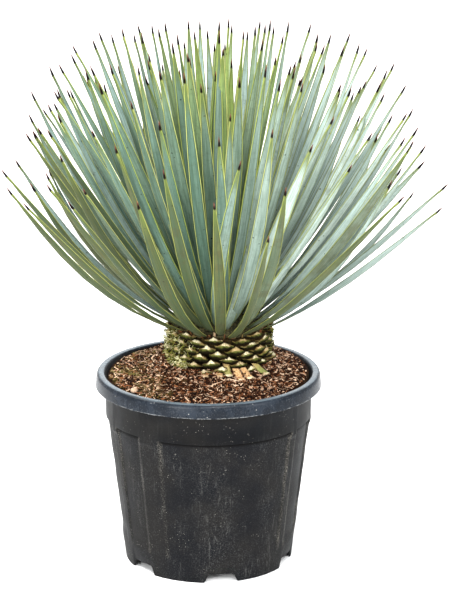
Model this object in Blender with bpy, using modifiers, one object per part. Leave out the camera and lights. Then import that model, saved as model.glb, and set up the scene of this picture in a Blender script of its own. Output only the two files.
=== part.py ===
"""Potted yucca: a rosette of about 170 stiff blades on a short trunk of cut leaf bases, standing
in soil in a black nursery pot.

Metres, +Z up. The origin is on the floor under the pot's axis, and the photographed side faces -Y.
"""

import math

import bmesh
import bpy
import numpy as np
from mathutils import Matrix, Vector

MM = 0.001
GAP = 0.3 * MM

# Pot: outer radii and heights
POT_HEIGHT = 275 * MM
RIM_TOP_RADIUS = 158 * MM
RIM_SKIRT_RADIUS = 160 * MM
RIM_SKIRT_DEPTH = 19 * MM
RIM_SKIRT_THICK = 2.5 * MM
RIM_INNER_RADIUS = 146 * MM
RIM_EDGE = 1.5 * MM
RIM_TOP_THICK = 3.5 * MM
COLLAR_RADIUS = 145.5 * MM
COLLAR_FOOT = 206 * MM
STEP_IN = 2.5 * MM
STEP_HEIGHT = 5 * MM
INNER_STEP_FOOT = 214 * MM
BASE_RADIUS = 119 * MM
WALL = 3.4 * MM
FLOOR = 3 * MM
FLOOR_RAISED = 12 * MM
CENTRE_DISC_RADIUS = 49 * MM
CENTRE_DISC_SLOPE = 5 * MM
CENTRE_DISC_WALL = 1.5 * MM
COLLAR_DRAFT = 0.4 * MM
FUNNEL_FOOT = 268 * MM
FUNNEL_TOP = 273 * MM
POT_STEPS = 48

# Pot: what is cut into it, in degrees counted from the front, + to the right
NOTCH_COUNT = 6
NOTCH_FIRST = 8.5
NOTCH_HALF_FLOOR = 11.5
NOTCH_HALF_TOP = 8.5
NOTCH_HEIGHT = 13 * MM
NOTCH_REACH = 8 * MM
PANEL_COUNT = 3
PANEL_CENTRE = 12.0
PANEL_HALF = 40.0
FLUTE_CENTRE = -52.0
FLUTE_HALF = 9.5
PANEL_DEPTH = 1.5 * MM
FLUTE_DEPTH = 1.9 * MM
RECESS_FOOT = 34 * MM
RECESS_RAMP = 14 * MM
RECESS_TOP = 213 * MM
RECESS_ROUND = 2 * MM
RECESS_SKIN = 0.2
CUT_BEYOND = 12 * MM
DRAIN_COUNT = 6
DRAIN_RADIUS = 5 * MM
DRAIN_CIRCLE = 86 * MM
DRAIN_SIDES = 8
POT_COLOUR = (0.035, 0.037, 0.042)

# Soil
SOIL_EDGE = 268 * MM
SOIL_MOUND = 18.5 * MM
SOIL_MOUND_REACH = 105 * MM
SOIL_LUMP = 1.1 * MM
SOIL_RINGS = 7
SOIL_COLOUR = (0.115, 0.062, 0.038)

# Trunk
TRUNK_CENTRE = Vector((16 * MM, 30 * MM))
TRUNK_FOOT = 245 * MM
TRUNK_ROOT_RADIUS = 60 * MM
TRUNK_SHOULDER = 297 * MM
TRUNK_RADIUS = 66 * MM
TRUNK_TOP = 328.2 * MM
TRUNK_STEPS = 24
TRUNK_COLOUR = (0.36, 0.33, 0.17)
GOLDEN_ANGLE = 137.508
STUB_COUNT = 51
STUB_RISE = 0.54 * MM
STUB_TOP = 322 * MM
STUB_REACH = 77 * MM
STUB_WIDTH = 18.5 * MM
STUB_WIDTH_DRAW = 0.06
STUB_LIFT = 5 * MM
STUB_DROOP = 1.8 * MM
STUB_SINK = 56 * MM
STUB_ROOT_WIDER = 1.15
STUB_ROOT_DEEP = 6 * MM
STUB_FACE_DEEP = 2.5 * MM
STUB_FACE_PEAK = 5 * MM
STUB_FACE_EDGE = 1.5 * MM
STUB_FACE_SLANT = 1.6 * MM

# Long dry leaf ends at the trunk's foot: angle about the trunk, how far out they lie, width
DRY_ENDS = ((-71.0, 99 * MM, 11 * MM), (-60.0, 94 * MM, 9 * MM), (-43.0, 87 * MM, 10 * MM),
            (-89.0, 86 * MM, 12 * MM))
DRY_END_THICK = 4 * MM
DRY_END_OUTLINE = ((-0.5, 0.35), (-0.3, 0.0), (0.3, 0.0), (0.5, 0.35), (0.0, 1.0))
DRY_END_ROOT_WIDER = 1.2
DRY_END_ROOT_UP = 5 * MM
DRY_END_CLEAR = 1.2 * MM

# Leaves: the rule
LEAF_COUNT = 172
LEAF_PHASE = 283.0
LEAF_SEED = 972
CROWN_Z = 334 * MM
CROWN_RADIUS = 67 * MM
CROWN_DOME = 54 * MM
CROWN_SWELL = 2.5 * MM
CROWN_RINGS = 7
CROWN_STEPS = 20
CHORD_OUTER = 42.0
CHORD_INNER = 89.0
BEND_OUTER = 34.0
LEAN_RIGHT = 5.0
STRAIGHT_RIGHT = 0.6
LEAF_LENGTH = ((0.0, 357 * MM), (0.15, 378 * MM), (0.3, 397 * MM), (0.45, 406 * MM),
               (0.6, 413 * MM), (0.8, 399 * MM), (1.0, 377 * MM))
LEAF_WIDTH = 17.5 * MM
LEAF_THICK = 2.6 * MM
LEAF_ROOT = 6 * MM
LEAF_THINNER = 0.6
LEAF_COLOUR = (0.30, 0.42, 0.36)
LENGTH_DRAW = 0.05
ASIDE_DRAW = 3.5
CURL_DRAW = 4.0
LIFT_DRAW = 3.0
ROLL_DRAW = 18.0
WIDTH_DRAW = 0.08
FACE_LIMIT = 58.0
FACE_LEAN = 18.0
TWIST_END = 0.4
HEAD_MIDDLE = np.array((16 * MM, 360 * MM))
FREE_REACH_LOW = 0.84
FREE_REACH_SPAN = 0.13
FREE_REACH_STEP = 0.7549
PATH_STATIONS = 51
BLADE_STATIONS = (0.0, 0.08, 0.22, 0.40, 0.64, 0.86, 1.0)
BLADE_EASE = 1.6

# Leaf tips measured by eye against the pot's size, seen from EYE: millimetres right of the pot's
# axis and above the floor, on the upright plane through the trunk. First the outline from left
# to right, then the tips that stand in front of other leaves.
EYE = np.array((0.0, -3.607, 1.442))
OUTLINE_TIPS = (
    (-289, 561), (-282, 535), (-269, 575), (-254, 613), (-249, 640), (-245, 672), (-219, 707),
    (-206, 710), (-189, 724), (-187, 737), (-159, 745), (-150, 755), (-133, 752), (-118, 760),
    (-102, 753), (-97, 766), (-77, 766), (-68, 759), (-59, 769), (-42, 752), (-27, 771), (-19, 756),
    (-11, 770), (-1, 758), (9, 739), (16, 769), (28, 773), (33, 765), (49, 756), (55, 756),
    (65, 763), (72, 771), (79, 765), (86, 771), (91, 763), (94, 721), (104, 751), (111, 769),
    (122, 714), (142, 766), (152, 753), (170, 752), (174, 702), (188, 735), (196, 753), (209, 739),
    (220, 732), (234, 709), (258, 712), (248, 702), (245, 669), (275, 681), (285, 647), (277, 641),
    (293, 621), (304, 595), (303, 572), (336, 539), (329, 505))
FRONT_TIPS = (
    (-224, 618), (-209, 639), (-226, 539), (-207, 582), (-197, 515), (-175, 532), (-162, 617),
    (-130, 595), (-107, 657), (-100, 515), (-68, 629), (-63, 560), (-67, 700), (-10, 681), (8, 512),
    (15, 606), (46, 572), (31, 639), (44, 690), (85, 463), (90, 617), (109, 534), (131, 682),
    (146, 595), (175, 635), (201, 567), (229, 613), (257, 544))

# Pebble
PEBBLE_RADIUS = 5.6 * MM
PEBBLE_PLACE = Vector((-103 * MM, -85 * MM))
PEBBLE_SQUASH = 0.78
PEBBLE_FLAT = 0.7
PEBBLE_CLEAR = 1.2 * MM
PEBBLE_COLOUR = (0.62, 0.50, 0.36)


def clear_scene():
    for obj in list(bpy.data.objects):
        bpy.data.objects.remove(obj, do_unlink=True)


def new_collection(name):
    made = bpy.data.collections.new(name)
    bpy.context.scene.collection.children.link(made)
    return made


def new_object(name, mesh, collection, material=None):
    obj = bpy.data.objects.new(name, mesh)
    collection.objects.link(obj)
    if material:
        mesh.materials.append(material)
    return obj


def principled(name, color, roughness, metallic=0.0):
    made = bpy.data.materials.new(name)
    made.use_nodes = True
    shader = made.node_tree.nodes["Principled BSDF"]
    shader.inputs["Base Color"].default_value = (*color, 1.0)
    shader.inputs["Roughness"].default_value = roughness
    shader.inputs["Metallic"].default_value = metallic
    made.diffuse_color = (*color, 1.0)
    return made


def turned(name, profile, steps, collection, material=None, centre=(0.0, 0.0)):
    """A profile of (radius, height) points, outer side last and running down, turned about Z."""
    mesh = bpy.data.meshes.new(name)
    points = [(radius, 0.0, height) for radius, height in profile]
    mesh.from_pydata(points, [(i, i + 1) for i in range(len(points) - 1)], [])
    obj = new_object(name, mesh, collection, material)
    obj.location = (centre[0], centre[1], 0.0)
    screw = obj.modifiers.new("turn", "SCREW")
    screw.steps = steps
    screw.render_steps = steps
    screw.use_merge_vertices = True
    screw.merge_threshold = 0.05 * MM
    return obj


def as_cutter(obj):
    obj.hide_render = True
    obj.display_type = "WIRE"
    return obj


def mesh_from_bmesh(name, bm):
    bmesh.ops.recalc_face_normals(bm, faces=bm.faces)
    mesh = bpy.data.meshes.new(name)
    bm.to_mesh(mesh)
    bm.free()
    return mesh


def baked(obj):
    """The object's evaluated mesh, put in the place of its mesh and modifiers."""
    graph = bpy.context.evaluated_depsgraph_get()
    graph.update()
    mesh = bpy.data.meshes.new_from_object(obj.evaluated_get(graph))
    obj.modifiers.clear()
    obj.data = mesh
    return obj


def smooth(obj, degrees):
    obj.data.shade_smooth()
    obj.data.set_sharp_from_angle(angle=math.radians(degrees))


def front_angle(degrees):
    """Degrees from the front, + to the right, as an angle about Z from +X."""
    return math.radians(degrees - 90.0)


def wall_radius(height):
    """Outer radius of the tapered wall below the collar."""
    top = COLLAR_RADIUS - STEP_IN
    return BASE_RADIUS + (top - BASE_RADIUS) * height / (COLLAR_FOOT - STEP_HEIGHT)


def sector(name, profile, middle, half, collection):
    """A closed outline of (radius, height) points spun through 2 x half degrees."""
    bm = bmesh.new()
    start = Matrix.Rotation(front_angle(middle - half), 3, "Z")
    corners = [bm.verts.new(start @ Vector((radius, 0.0, height))) for radius, height in profile]
    face = bm.faces.new(corners)
    steps = max(2, round(2 * half * POT_STEPS / 360.0))
    bmesh.ops.spin(bm, geom=[face], angle=math.radians(2 * half), steps=steps,
                   axis=(0.0, 0.0, 1.0), cent=(0.0, 0.0, 0.0))
    bmesh.ops.remove_doubles(bm, verts=bm.verts, dist=0.02 * MM)
    return as_cutter(new_object(name, mesh_from_bmesh(name, bm), collection))


def recess_outline(depth):
    """Section of a recess: it ramps in from its foot, follows the wall and ends in a ledge."""
    outer = COLLAR_RADIUS + CUT_BEYOND
    low = RECESS_FOOT + RECESS_RAMP
    high = RECESS_TOP - RECESS_ROUND
    return [
        (outer, RECESS_FOOT - RECESS_ROUND),
        (wall_radius(RECESS_FOOT) + RECESS_SKIN * MM, RECESS_FOOT - RECESS_ROUND),
        (wall_radius(low) - depth, low),
        (wall_radius(high) - depth, high),
        (wall_radius(RECESS_TOP) - RECESS_SKIN * depth, RECESS_TOP),
        (outer, RECESS_TOP),
    ]


def notch(name, middle, collection):
    """A block through the foot of the wall, wider at the floor than at its top."""
    bm = bmesh.new()
    bmesh.ops.create_cube(bm, size=1.0)
    inner = BASE_RADIUS - NOTCH_REACH
    outer = BASE_RADIUS + NOTCH_REACH
    for vert in bm.verts:
        top = vert.co.z > 0
        height = NOTCH_HEIGHT if top else -0.5 * NOTCH_REACH
        half = NOTCH_HALF_TOP if top else NOTCH_HALF_FLOOR
        half_width = BASE_RADIUS * math.tan(math.radians(half))
        vert.co = Vector((outer if vert.co.x > 0 else inner, math.copysign(half_width, vert.co.y), height))
    bmesh.ops.rotate(bm, verts=bm.verts, cent=(0.0, 0.0, 0.0),
                     matrix=Matrix.Rotation(front_angle(middle), 3, "Z"))
    return as_cutter(new_object(name, mesh_from_bmesh(name, bm), collection))


def drain_hole(name, middle, collection):
    bm = bmesh.new()
    bmesh.ops.create_cone(bm, cap_ends=True, segments=DRAIN_SIDES, radius1=DRAIN_RADIUS,
                          radius2=DRAIN_RADIUS, depth=CUT_BEYOND)
    angle = front_angle(middle)
    place = Vector((DRAIN_CIRCLE * math.cos(angle), DRAIN_CIRCLE * math.sin(angle), FLOOR_RAISED))
    bmesh.ops.translate(bm, verts=bm.verts, vec=place)
    return as_cutter(new_object(name, mesh_from_bmesh(name, bm), collection))


def pot_inside():
    """Inner side of the pot from the axis up to the rim.

    It steps out above the recesses, which run a little way up into the collar.
    """
    raised = FLOOR_RAISED + FLOOR
    slope_in = CENTRE_DISC_RADIUS - CENTRE_DISC_WALL
    return [
        (0.0, FLOOR),
        (slope_in, FLOOR),
        (slope_in + CENTRE_DISC_SLOPE, raised),
        (wall_radius(raised) - WALL, raised),
        (wall_radius(INNER_STEP_FOOT) - WALL, INNER_STEP_FOOT),
        (COLLAR_RADIUS - WALL, INNER_STEP_FOOT + STEP_HEIGHT),
        (COLLAR_RADIUS - WALL + COLLAR_DRAFT, FUNNEL_FOOT),
        (RIM_INNER_RADIUS, FUNNEL_TOP),
    ]


def build_pot(parts, cutters):
    skirt_foot = POT_HEIGHT - RIM_SKIRT_DEPTH
    rim_under = POT_HEIGHT - RIM_TOP_THICK
    outside = [
        (RIM_INNER_RADIUS + RIM_EDGE, POT_HEIGHT),
        (RIM_TOP_RADIUS - RIM_EDGE, POT_HEIGHT),
        (RIM_TOP_RADIUS, POT_HEIGHT - RIM_EDGE),
        (RIM_SKIRT_RADIUS, skirt_foot),
        (RIM_SKIRT_RADIUS - RIM_SKIRT_THICK, skirt_foot),
        (RIM_TOP_RADIUS - RIM_SKIRT_THICK, rim_under),
        (COLLAR_RADIUS + COLLAR_DRAFT, rim_under),
        (COLLAR_RADIUS, COLLAR_FOOT),
        (COLLAR_RADIUS - STEP_IN, COLLAR_FOOT - STEP_HEIGHT),
        (BASE_RADIUS, 0.0),
        (BASE_RADIUS - WALL, 0.0),
        (BASE_RADIUS - WALL, FLOOR_RAISED),
        (CENTRE_DISC_RADIUS + CENTRE_DISC_SLOPE, FLOOR_RAISED),
        (CENTRE_DISC_RADIUS, 0.0),
        (0.0, 0.0),
    ]
    material = principled("pot_black_plastic", POT_COLOUR, 0.5)
    pot = turned("pot", pot_inside() + outside, POT_STEPS, parts, material)
    for k in range(NOTCH_COUNT):
        notch(f"notch_{k}", NOTCH_FIRST + k * 360.0 / NOTCH_COUNT, cutters)
    for k in range(DRAIN_COUNT):
        drain_hole(f"drain_{k}", NOTCH_FIRST + (k + 0.5) * 360.0 / DRAIN_COUNT, cutters)
    for k in range(PANEL_COUNT):
        turn = k * 360.0 / PANEL_COUNT
        sector(f"panel_{k}", recess_outline(PANEL_DEPTH), PANEL_CENTRE + turn, PANEL_HALF, cutters)
        sector(f"flute_{k}", recess_outline(FLUTE_DEPTH), FLUTE_CENTRE + turn, FLUTE_HALF, cutters)
    cut = pot.modifiers.new("cuts", "BOOLEAN")
    cut.operation = "DIFFERENCE"
    cut.operand_type = "COLLECTION"
    cut.collection = cutters
    cut.solver = "EXACT"
    baked(pot)
    smooth(pot, 28)
    return pot


def soil_height(x, y):
    """Level soil, mounded round the trunk, with low lumps a few centimetres across."""
    away = math.hypot(x - TRUNK_CENTRE.x, y - TRUNK_CENTRE.y)
    fall = min(max((away - TRUNK_RADIUS) / SOIL_MOUND_REACH, 0.0), 1.0)
    mound = SOIL_MOUND * (1.0 - fall) ** 1.6
    lumps = math.sin(97 * x + 2.1 * math.sin(61 * y)) + math.sin(113 * y + 1.7 * math.sin(83 * x) + 0.8)
    return SOIL_EDGE + mound + SOIL_LUMP * lumps * 0.5 * min(4.0 * fall, 1.0)


def build_soil(parts):
    inside = [(max(radius - GAP, 0.0), height + GAP) for radius, height in pot_inside() if height < SOIL_EDGE]
    top_radius = inside[-1][0] + 0.15 * MM
    rings = [(top_radius * (SOIL_RINGS - k) / SOIL_RINGS, SOIL_EDGE) for k in range(SOIL_RINGS + 1)]
    profile = rings[::-1] + inside[::-1]
    material = principled("soil_bark", SOIL_COLOUR, 0.95)
    soil = turned("soil", profile, POT_STEPS, parts, material)
    baked(soil)
    for vert in soil.data.vertices:
        if vert.co.z > SOIL_EDGE - 0.01 * MM:
            vert.co.z = soil_height(vert.co.x, vert.co.y)
    hole_radius = TRUNK_ROOT_RADIUS + GAP
    hole_foot = TRUNK_FOOT - GAP
    hole = turned("trunk_hole", [(0.0, TRUNK_TOP), (hole_radius, TRUNK_TOP), (hole_radius, hole_foot),
                                 (0.0, hole_foot)], TRUNK_STEPS, parts, centre=TRUNK_CENTRE)
    cut = soil.modifiers.new("hole", "BOOLEAN")
    cut.operation = "DIFFERENCE"
    cut.object = hole
    cut.solver = "EXACT"
    baked(soil)
    bpy.data.objects.remove(hole, do_unlink=True)
    smooth(soil, 40)
    return soil


def folds_outwards(a, b, c, d, middle):
    """Whether a four-cornered side, folded along its diagonal a-c, bulges away from middle.

    The sides of a twisted blade aren't flat, and the wrong diagonal would sink one into the blade.
    """
    outward = np.cross(c - a, d - b)
    outward = outward * np.sign(np.dot(a + b + c + d - 4 * middle, outward))
    return np.dot(a + c - b - d, outward) >= 0


def solid_from_rings(name, rings, collection):
    """A closed solid lofted through rings of equal count; a ring of one point is a tip."""
    verts = []
    faces = []
    starts = []
    for ring in rings:
        starts.append(len(verts))
        verts.extend(tuple(float(value) for value in point) for point in ring)
    sides = len(rings[0])
    places = np.array(verts)
    for a, b, ring in zip(starts, starts[1:], rings[1:]):
        middle = places[a:b + len(ring)].mean(axis=0)
        for j in range(sides):
            k = (j + 1) % sides
            if len(ring) == 1:
                faces.append((a + j, a + k, b))
            elif folds_outwards(*places[[a + j, a + k, b + k, b + j]], middle):
                faces += [(a + j, a + k, b + k), (a + j, b + k, b + j)]
            else:
                faces += [(a + j, a + k, b + j), (a + k, b + k, b + j)]
    faces.append(tuple(range(sides))[::-1])
    if len(rings[-1]) > 1:
        faces.append(tuple(starts[-1] + j for j in range(sides)))
    mesh = bpy.data.meshes.new(name)
    mesh.from_pydata(verts, [], faces)
    bm = bmesh.new()
    bm.from_mesh(mesh)
    bmesh.ops.recalc_face_normals(bm, faces=bm.faces)
    bm.to_mesh(mesh)
    bm.free()
    return new_object(name, mesh, collection)


def fused(core, repeats, solver):
    """The core and every object of the collection as one solid; the collection is emptied."""
    join = core.modifiers.new("join", "BOOLEAN")
    join.operation = "UNION"
    join.operand_type = "COLLECTION"
    join.collection = repeats
    join.solver = solver
    baked(core)
    for obj in list(repeats.objects):
        bpy.data.objects.remove(obj, do_unlink=True)
    bpy.data.collections.remove(repeats)
    return core


def stub(name, angle, height, width, lift, collection):
    """A cut leaf base: a four-cornered wedge, wide where it grows and pared to a low diamond."""
    half = width / 2
    root_half = half * STUB_ROOT_WIDER
    inner = ((-root_half, 0.0), (0.0, -STUB_ROOT_DEEP), (root_half, 0.0), (0.0, STUB_FACE_PEAK))
    outer = ((-half, STUB_FACE_EDGE), (0.0, -STUB_FACE_DEEP), (half, STUB_FACE_EDGE), (0.0, STUB_FACE_PEAK))
    slant = (0.0, STUB_FACE_SLANT, 0.0, -STUB_FACE_SLANT)
    turn = Matrix.Rotation(angle, 3, "Z")
    place = Vector((TRUNK_CENTRE.x, TRUNK_CENTRE.y, height))
    grown = [turn @ Vector((STUB_SINK, across, up)) + place for across, up in inner]
    cut = [turn @ Vector((STUB_REACH + back, across, up + lift)) + place
           for (across, up), back in zip(outer, slant)]
    return solid_from_rings(name, (grown, cut), collection)


def dry_end(name, angle, reach, width, collection):
    """A long dry leaf base that hangs from the trunk's foot and lies along the soil."""
    turn = Matrix.Rotation(angle, 3, "Z")
    rings = []
    for radius, share in ((STUB_SINK, DRY_END_ROOT_WIDER), (reach, 1.0)):
        middle = turn @ Vector((radius, 0.0, 0.0)) + Vector((*TRUNK_CENTRE, 0.0))
        low = soil_height(middle.x, middle.y) + DRY_END_CLEAR
        if radius == STUB_SINK:
            low = SOIL_EDGE + SOIL_MOUND + DRY_END_ROOT_UP
        rings.append([middle + turn @ Vector((0.0, across * share * width, 0.0))
                      + Vector((0.0, 0.0, low + up * DRY_END_THICK)) for across, up in DRY_END_OUTLINE])
    return solid_from_rings(name, rings, collection)


def build_trunk(parts):
    material = principled("trunk_leaf_bases", TRUNK_COLOUR, 0.75)
    profile = [(0.0, TRUNK_TOP), (TRUNK_RADIUS, TRUNK_TOP), (TRUNK_RADIUS, TRUNK_SHOULDER),
               (TRUNK_ROOT_RADIUS, TRUNK_SHOULDER - 5 * MM), (TRUNK_ROOT_RADIUS, TRUNK_FOOT),
               (0.0, TRUNK_FOOT)]
    trunk = baked(turned("trunk", profile, TRUNK_STEPS, parts, material, centre=TRUNK_CENTRE))
    stubs = new_collection("stubs")
    rng = np.random.default_rng(LEAF_SEED + 1)
    for k in range(STUB_COUNT):
        down = k / STUB_COUNT
        angle = math.radians(LEAF_PHASE - (k + 1) * GOLDEN_ANGLE)
        width = STUB_WIDTH * (1.0 + STUB_WIDTH_DRAW * rng.uniform(-1.0, 1.0))
        lift = STUB_LIFT * (1 - down) - STUB_DROOP * down ** 2
        stub(f"stub_{k:03d}", angle, STUB_TOP - k * STUB_RISE, width, lift, stubs)
    for k, (angle, reach, width) in enumerate(DRY_ENDS):
        dry_end(f"dry_end_{k}", math.radians(angle), reach, width, stubs)
    fused(trunk, stubs, "EXACT")
    return trunk


def leaf_paths(stations):
    """Centre lines, side directions, outer-face directions and widths of all blades.

    Blade k stands at the golden angle after blade k-1, on a dome, the outermost first. With
    u = (k + 1/2) / n the chord rises from CHORD_OUTER to CHORD_INNER so that the blades share the
    sky evenly, and the bend BEND_OUTER * (1 - u)^1.2 curls each blade upward along its length.
    """
    rng = np.random.default_rng(LEAF_SEED)
    n = LEAF_COUNT
    u = (np.arange(n) + 0.5) / n
    draws = rng.standard_normal((n, 6)).clip(-2, 2)
    around = np.radians(LEAF_PHASE + np.arange(n) * GOLDEN_ANGLE)
    lean = np.clip(1 - u / 0.2, 0, 1) * np.clip(np.cos(around + 0.1), 0, 1)
    chord_cos = 1 - (1 - u) * (1 - np.cos(np.radians(90 - CHORD_OUTER)))
    chord = np.minimum(90 - np.degrees(np.arccos(chord_cos)), CHORD_INNER) - LEAN_RIGHT * lean
    bend = BEND_OUTER * (1 - u) ** 1.2 * (1 - STRAIGHT_RIGHT * lean)
    knots, lengths = zip(*LEAF_LENGTH)
    length = np.interp(u, knots, lengths) * (1 - LENGTH_DRAW * np.abs(draws[:, 3]))

    s = np.linspace(0, 1, stations)
    rise = 1 - (1 - s) ** 2
    late = s * s * (3 - 2 * s)
    up = np.radians(chord[:, None] + bend[:, None] * (rise - 2 / 3) + LIFT_DRAW * draws[:, 1:2] * late)
    aside = ASIDE_DRAW * draws[:, 0:1] * late + CURL_DRAW * draws[:, 4:5] * s ** 2
    heading = around[:, None] + np.radians(aside)
    tangent = np.stack([np.cos(up) * np.cos(heading), np.cos(up) * np.sin(heading), np.sin(up)], -1)
    steps = (tangent[:, 1:] + tangent[:, :-1]) / 2 * length[:, None, None] / (stations - 1)
    radius = CROWN_RADIUS * np.sqrt(1 - u)
    base = np.stack([TRUNK_CENTRE.x + radius * np.cos(around), TRUNK_CENTRE.y + radius * np.sin(around),
                     CROWN_Z + CROWN_DOME * u], -1)
    path = base[:, None] + np.concatenate([np.zeros((n, 1, 3)), np.cumsum(steps, axis=1)], axis=1)
    path = reach_tips(path)

    side = np.stack([-np.sin(heading), np.cos(heading), np.zeros_like(heading)], -1)
    under = np.cross(side, tangent)
    turn = broad_side(path, side, under, ROLL_DRAW * draws[:, 2], around)
    early = np.minimum(s / TWIST_END, 1)
    roll = (np.radians(turn)[:, None] * early * early * (3 - 2 * early))[..., None]
    side = side * np.cos(roll) + under * np.sin(roll)
    under = np.cross(side, tangent)
    width = LEAF_WIDTH * (1 + WIDTH_DRAW * draws[:, 5:6]) * blade_width(s)
    return path, side, under, width


def broad_side(path, side, under, draw, around):
    """Degrees of turn about each blade's own line.

    Seen from EYE, the underside is first turned away by the angle whose tangent is its share
    across over its share towards. A blade within FACE_LIMIT of edge-on goes to the limit, so
    that it shows a broad face: on the left more often the underside, on the right the upper.
    """
    middle = path.shape[1] * 3 // 5
    sight = EYE - path[:, middle]
    across = (sight * side[:, middle]).sum(1)
    towards = (sight * under[:, middle]).sum(1)
    away = np.degrees(np.arctan2(across, towards))
    drawn = (away + draw + 180) % 360 - 180
    shows_under = np.abs(drawn) < 90 - FACE_LEAN * np.cos(around)
    under_size = np.minimum(np.abs(drawn), FACE_LIMIT)
    upper_size = np.maximum(np.abs(drawn), 180 - FACE_LIMIT)
    size = np.where(shows_under, under_size, upper_size)
    return (size * np.sign(drawn) - away + 180) % 360 - 180


def blade_width(s):
    """Share of the full width: narrow at the root, full at 45 %, then tapering to the spine."""
    neck = 0.42 * np.sin(np.pi / 2 * np.minimum(s / 0.07, 1))
    swell = 0.42 + neck + 0.16 * np.sin(np.pi / 2 * np.minimum(s / 0.45, 1))
    taper = 1 - 0.93 * (np.maximum(s - 0.55, 0) / 0.45) ** 1.9
    return swell * taper


def reach_tips(path):
    """Eases the nearest free blade onto the sight line of each measured tip.

    The front tips take blades that lean to the viewer. A blade that no tip claims ends a little
    inside the measured outline: it is brought in where it stood further out, and one that leans
    to the viewer is raised, at its own length, until it reaches as far.
    """
    plane = TRUNK_CENTRE.y
    tips = path[:, -1].copy()
    sight = tips - EYE
    seen = EYE + sight * ((plane - EYE[1]) / sight[:, 1])[:, None]
    ease = (np.linspace(0, 1, path.shape[1]) ** BLADE_EASE)[:, None]
    free = np.ones(len(path), bool)
    out = path.copy()
    for goals, usable in ((FRONT_TIPS, tips[:, 1] < plane), (OUTLINE_TIPS, np.ones(len(path), bool))):
        for right, up in goals:
            goal = np.array((right * MM, plane, up * MM))
            away = np.linalg.norm(seen - goal, axis=1) + np.where(free & usable, 0, 9)
            k = int(np.argmin(away))
            free[k] = False
            line = (goal - EYE) / np.linalg.norm(goal - EYE)
            target = EYE + line * np.dot(tips[k] - EYE, line)
            out[k] += (target - tips[k]) * ease
    outline = np.array(OUTLINE_TIPS) * MM - HEAD_MIDDLE
    outline_turn = np.arctan2(outline[:, 1], outline[:, 0])
    order = np.argsort(outline_turn)
    for k in np.flatnonzero(free):
        away = np.array((seen[k, 0], seen[k, 2])) - HEAD_MIDDLE
        reach = np.interp(np.arctan2(away[1], away[0]), outline_turn[order], np.hypot(*outline[order].T))
        limit = reach * (FREE_REACH_LOW + FREE_REACH_SPAN * (k * FREE_REACH_STEP % 1))
        stretch = limit / np.hypot(*away)
        raised = tips[k, 1] < plane and stretch > 1
        if raised or stretch < 1:
            away = away * stretch
        line = np.array((HEAD_MIDDLE[0] + away[0], plane, HEAD_MIDDLE[1] + away[1])) - EYE
        line = line / np.linalg.norm(line)
        along = np.dot(tips[k] - EYE, line)
        if raised:
            root = path[k, 0] - EYE
            chord = np.linalg.norm(tips[k] - path[k, 0])
            closest = np.dot(root, line)
            along = closest - math.sqrt(max(0.0, closest ** 2 - np.dot(root, root) + chord ** 2))
        out[k] += (EYE + line * along - tips[k]) * ease
    return out


def build_leaves(parts):
    material = principled("leaf_blue_green", LEAF_COLOUR, 0.5)
    dome_radius = CROWN_RADIUS + CROWN_SWELL
    dome_foot = CROWN_Z + CROWN_SWELL
    shares = np.linspace(0.0, 1.0, CROWN_RINGS)
    profile = [(dome_radius * share, dome_foot + CROWN_DOME * (1 - share ** 2)) for share in shares]
    profile += [(CROWN_RADIUS, CROWN_Z), (TRUNK_ROOT_RADIUS, TRUNK_TOP + GAP), (0.0, TRUNK_TOP + GAP)]
    core = baked(turned("leaf_rosette", profile, CROWN_STEPS, parts, material, centre=TRUNK_CENTRE))
    blades = new_collection("blades")
    last = PATH_STATIONS - 1
    picks = [round(s * last) for s in BLADE_STATIONS]
    path, side, under, width = leaf_paths(PATH_STATIONS)
    for k in range(LEAF_COUNT):
        root = path[k, 0] - (path[k, 1] - path[k, 0]) * (LEAF_ROOT / np.linalg.norm(path[k, 1] - path[k, 0]))
        rings = []
        for pick in picks[:-1]:
            centre = root if pick == 0 else path[k, pick]
            half = side[k, pick] * width[k, pick] / 2
            keel = under[k, pick] * LEAF_THICK * (1 - LEAF_THINNER * pick / last)
            rings.append([centre - half, centre + keel, centre + half])
        rings.append([path[k, -1]])
        solid_from_rings(f"blade_{k:03d}", rings, blades)
    return fused(core, blades, "MANIFOLD")


def build_pebble(parts):
    """A small lumpy stone near the rim, flat where it rests."""
    material = principled("pebble_cream", PEBBLE_COLOUR, 0.8)
    bm = bmesh.new()
    bmesh.ops.create_icosphere(bm, subdivisions=2, radius=PEBBLE_RADIUS)
    for vert in bm.verts:
        co = vert.co
        swell = 1 + 0.07 * math.sin(600 * co.x + 1.0) + 0.06 * math.sin(700 * co.y + 400 * co.z)
        vert.co = Vector((co.x * swell, co.y * swell * 0.9, co.z * PEBBLE_SQUASH * swell))
    rest = -PEBBLE_FLAT * PEBBLE_RADIUS * PEBBLE_SQUASH
    for vert in bm.verts:
        vert.co.z = max(vert.co.z, rest)
    pebble = new_object("pebble", mesh_from_bmesh("pebble", bm), parts, material)
    x, y = PEBBLE_PLACE
    pebble.location = (x, y, soil_height(x, y) - rest + PEBBLE_CLEAR)
    pebble.data.shade_smooth()
    return pebble


def main():
    clear_scene()
    parts = new_collection("potted_yucca")
    cutters = new_collection("cutters")
    build_pot(parts, cutters)
    build_soil(parts)
    build_trunk(parts)
    build_leaves(parts)
    build_pebble(parts)


main()
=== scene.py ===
# %% [markdown]
# # A potted yucca
# About 170 stiff blue-green leaves stand on a short trunk of cut leaf bases, in a black nursery
# pot filled with bark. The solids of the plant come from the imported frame. This file
# lays finer surfaces over them, in the same place and of the same size, and gives each its finish.

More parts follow.
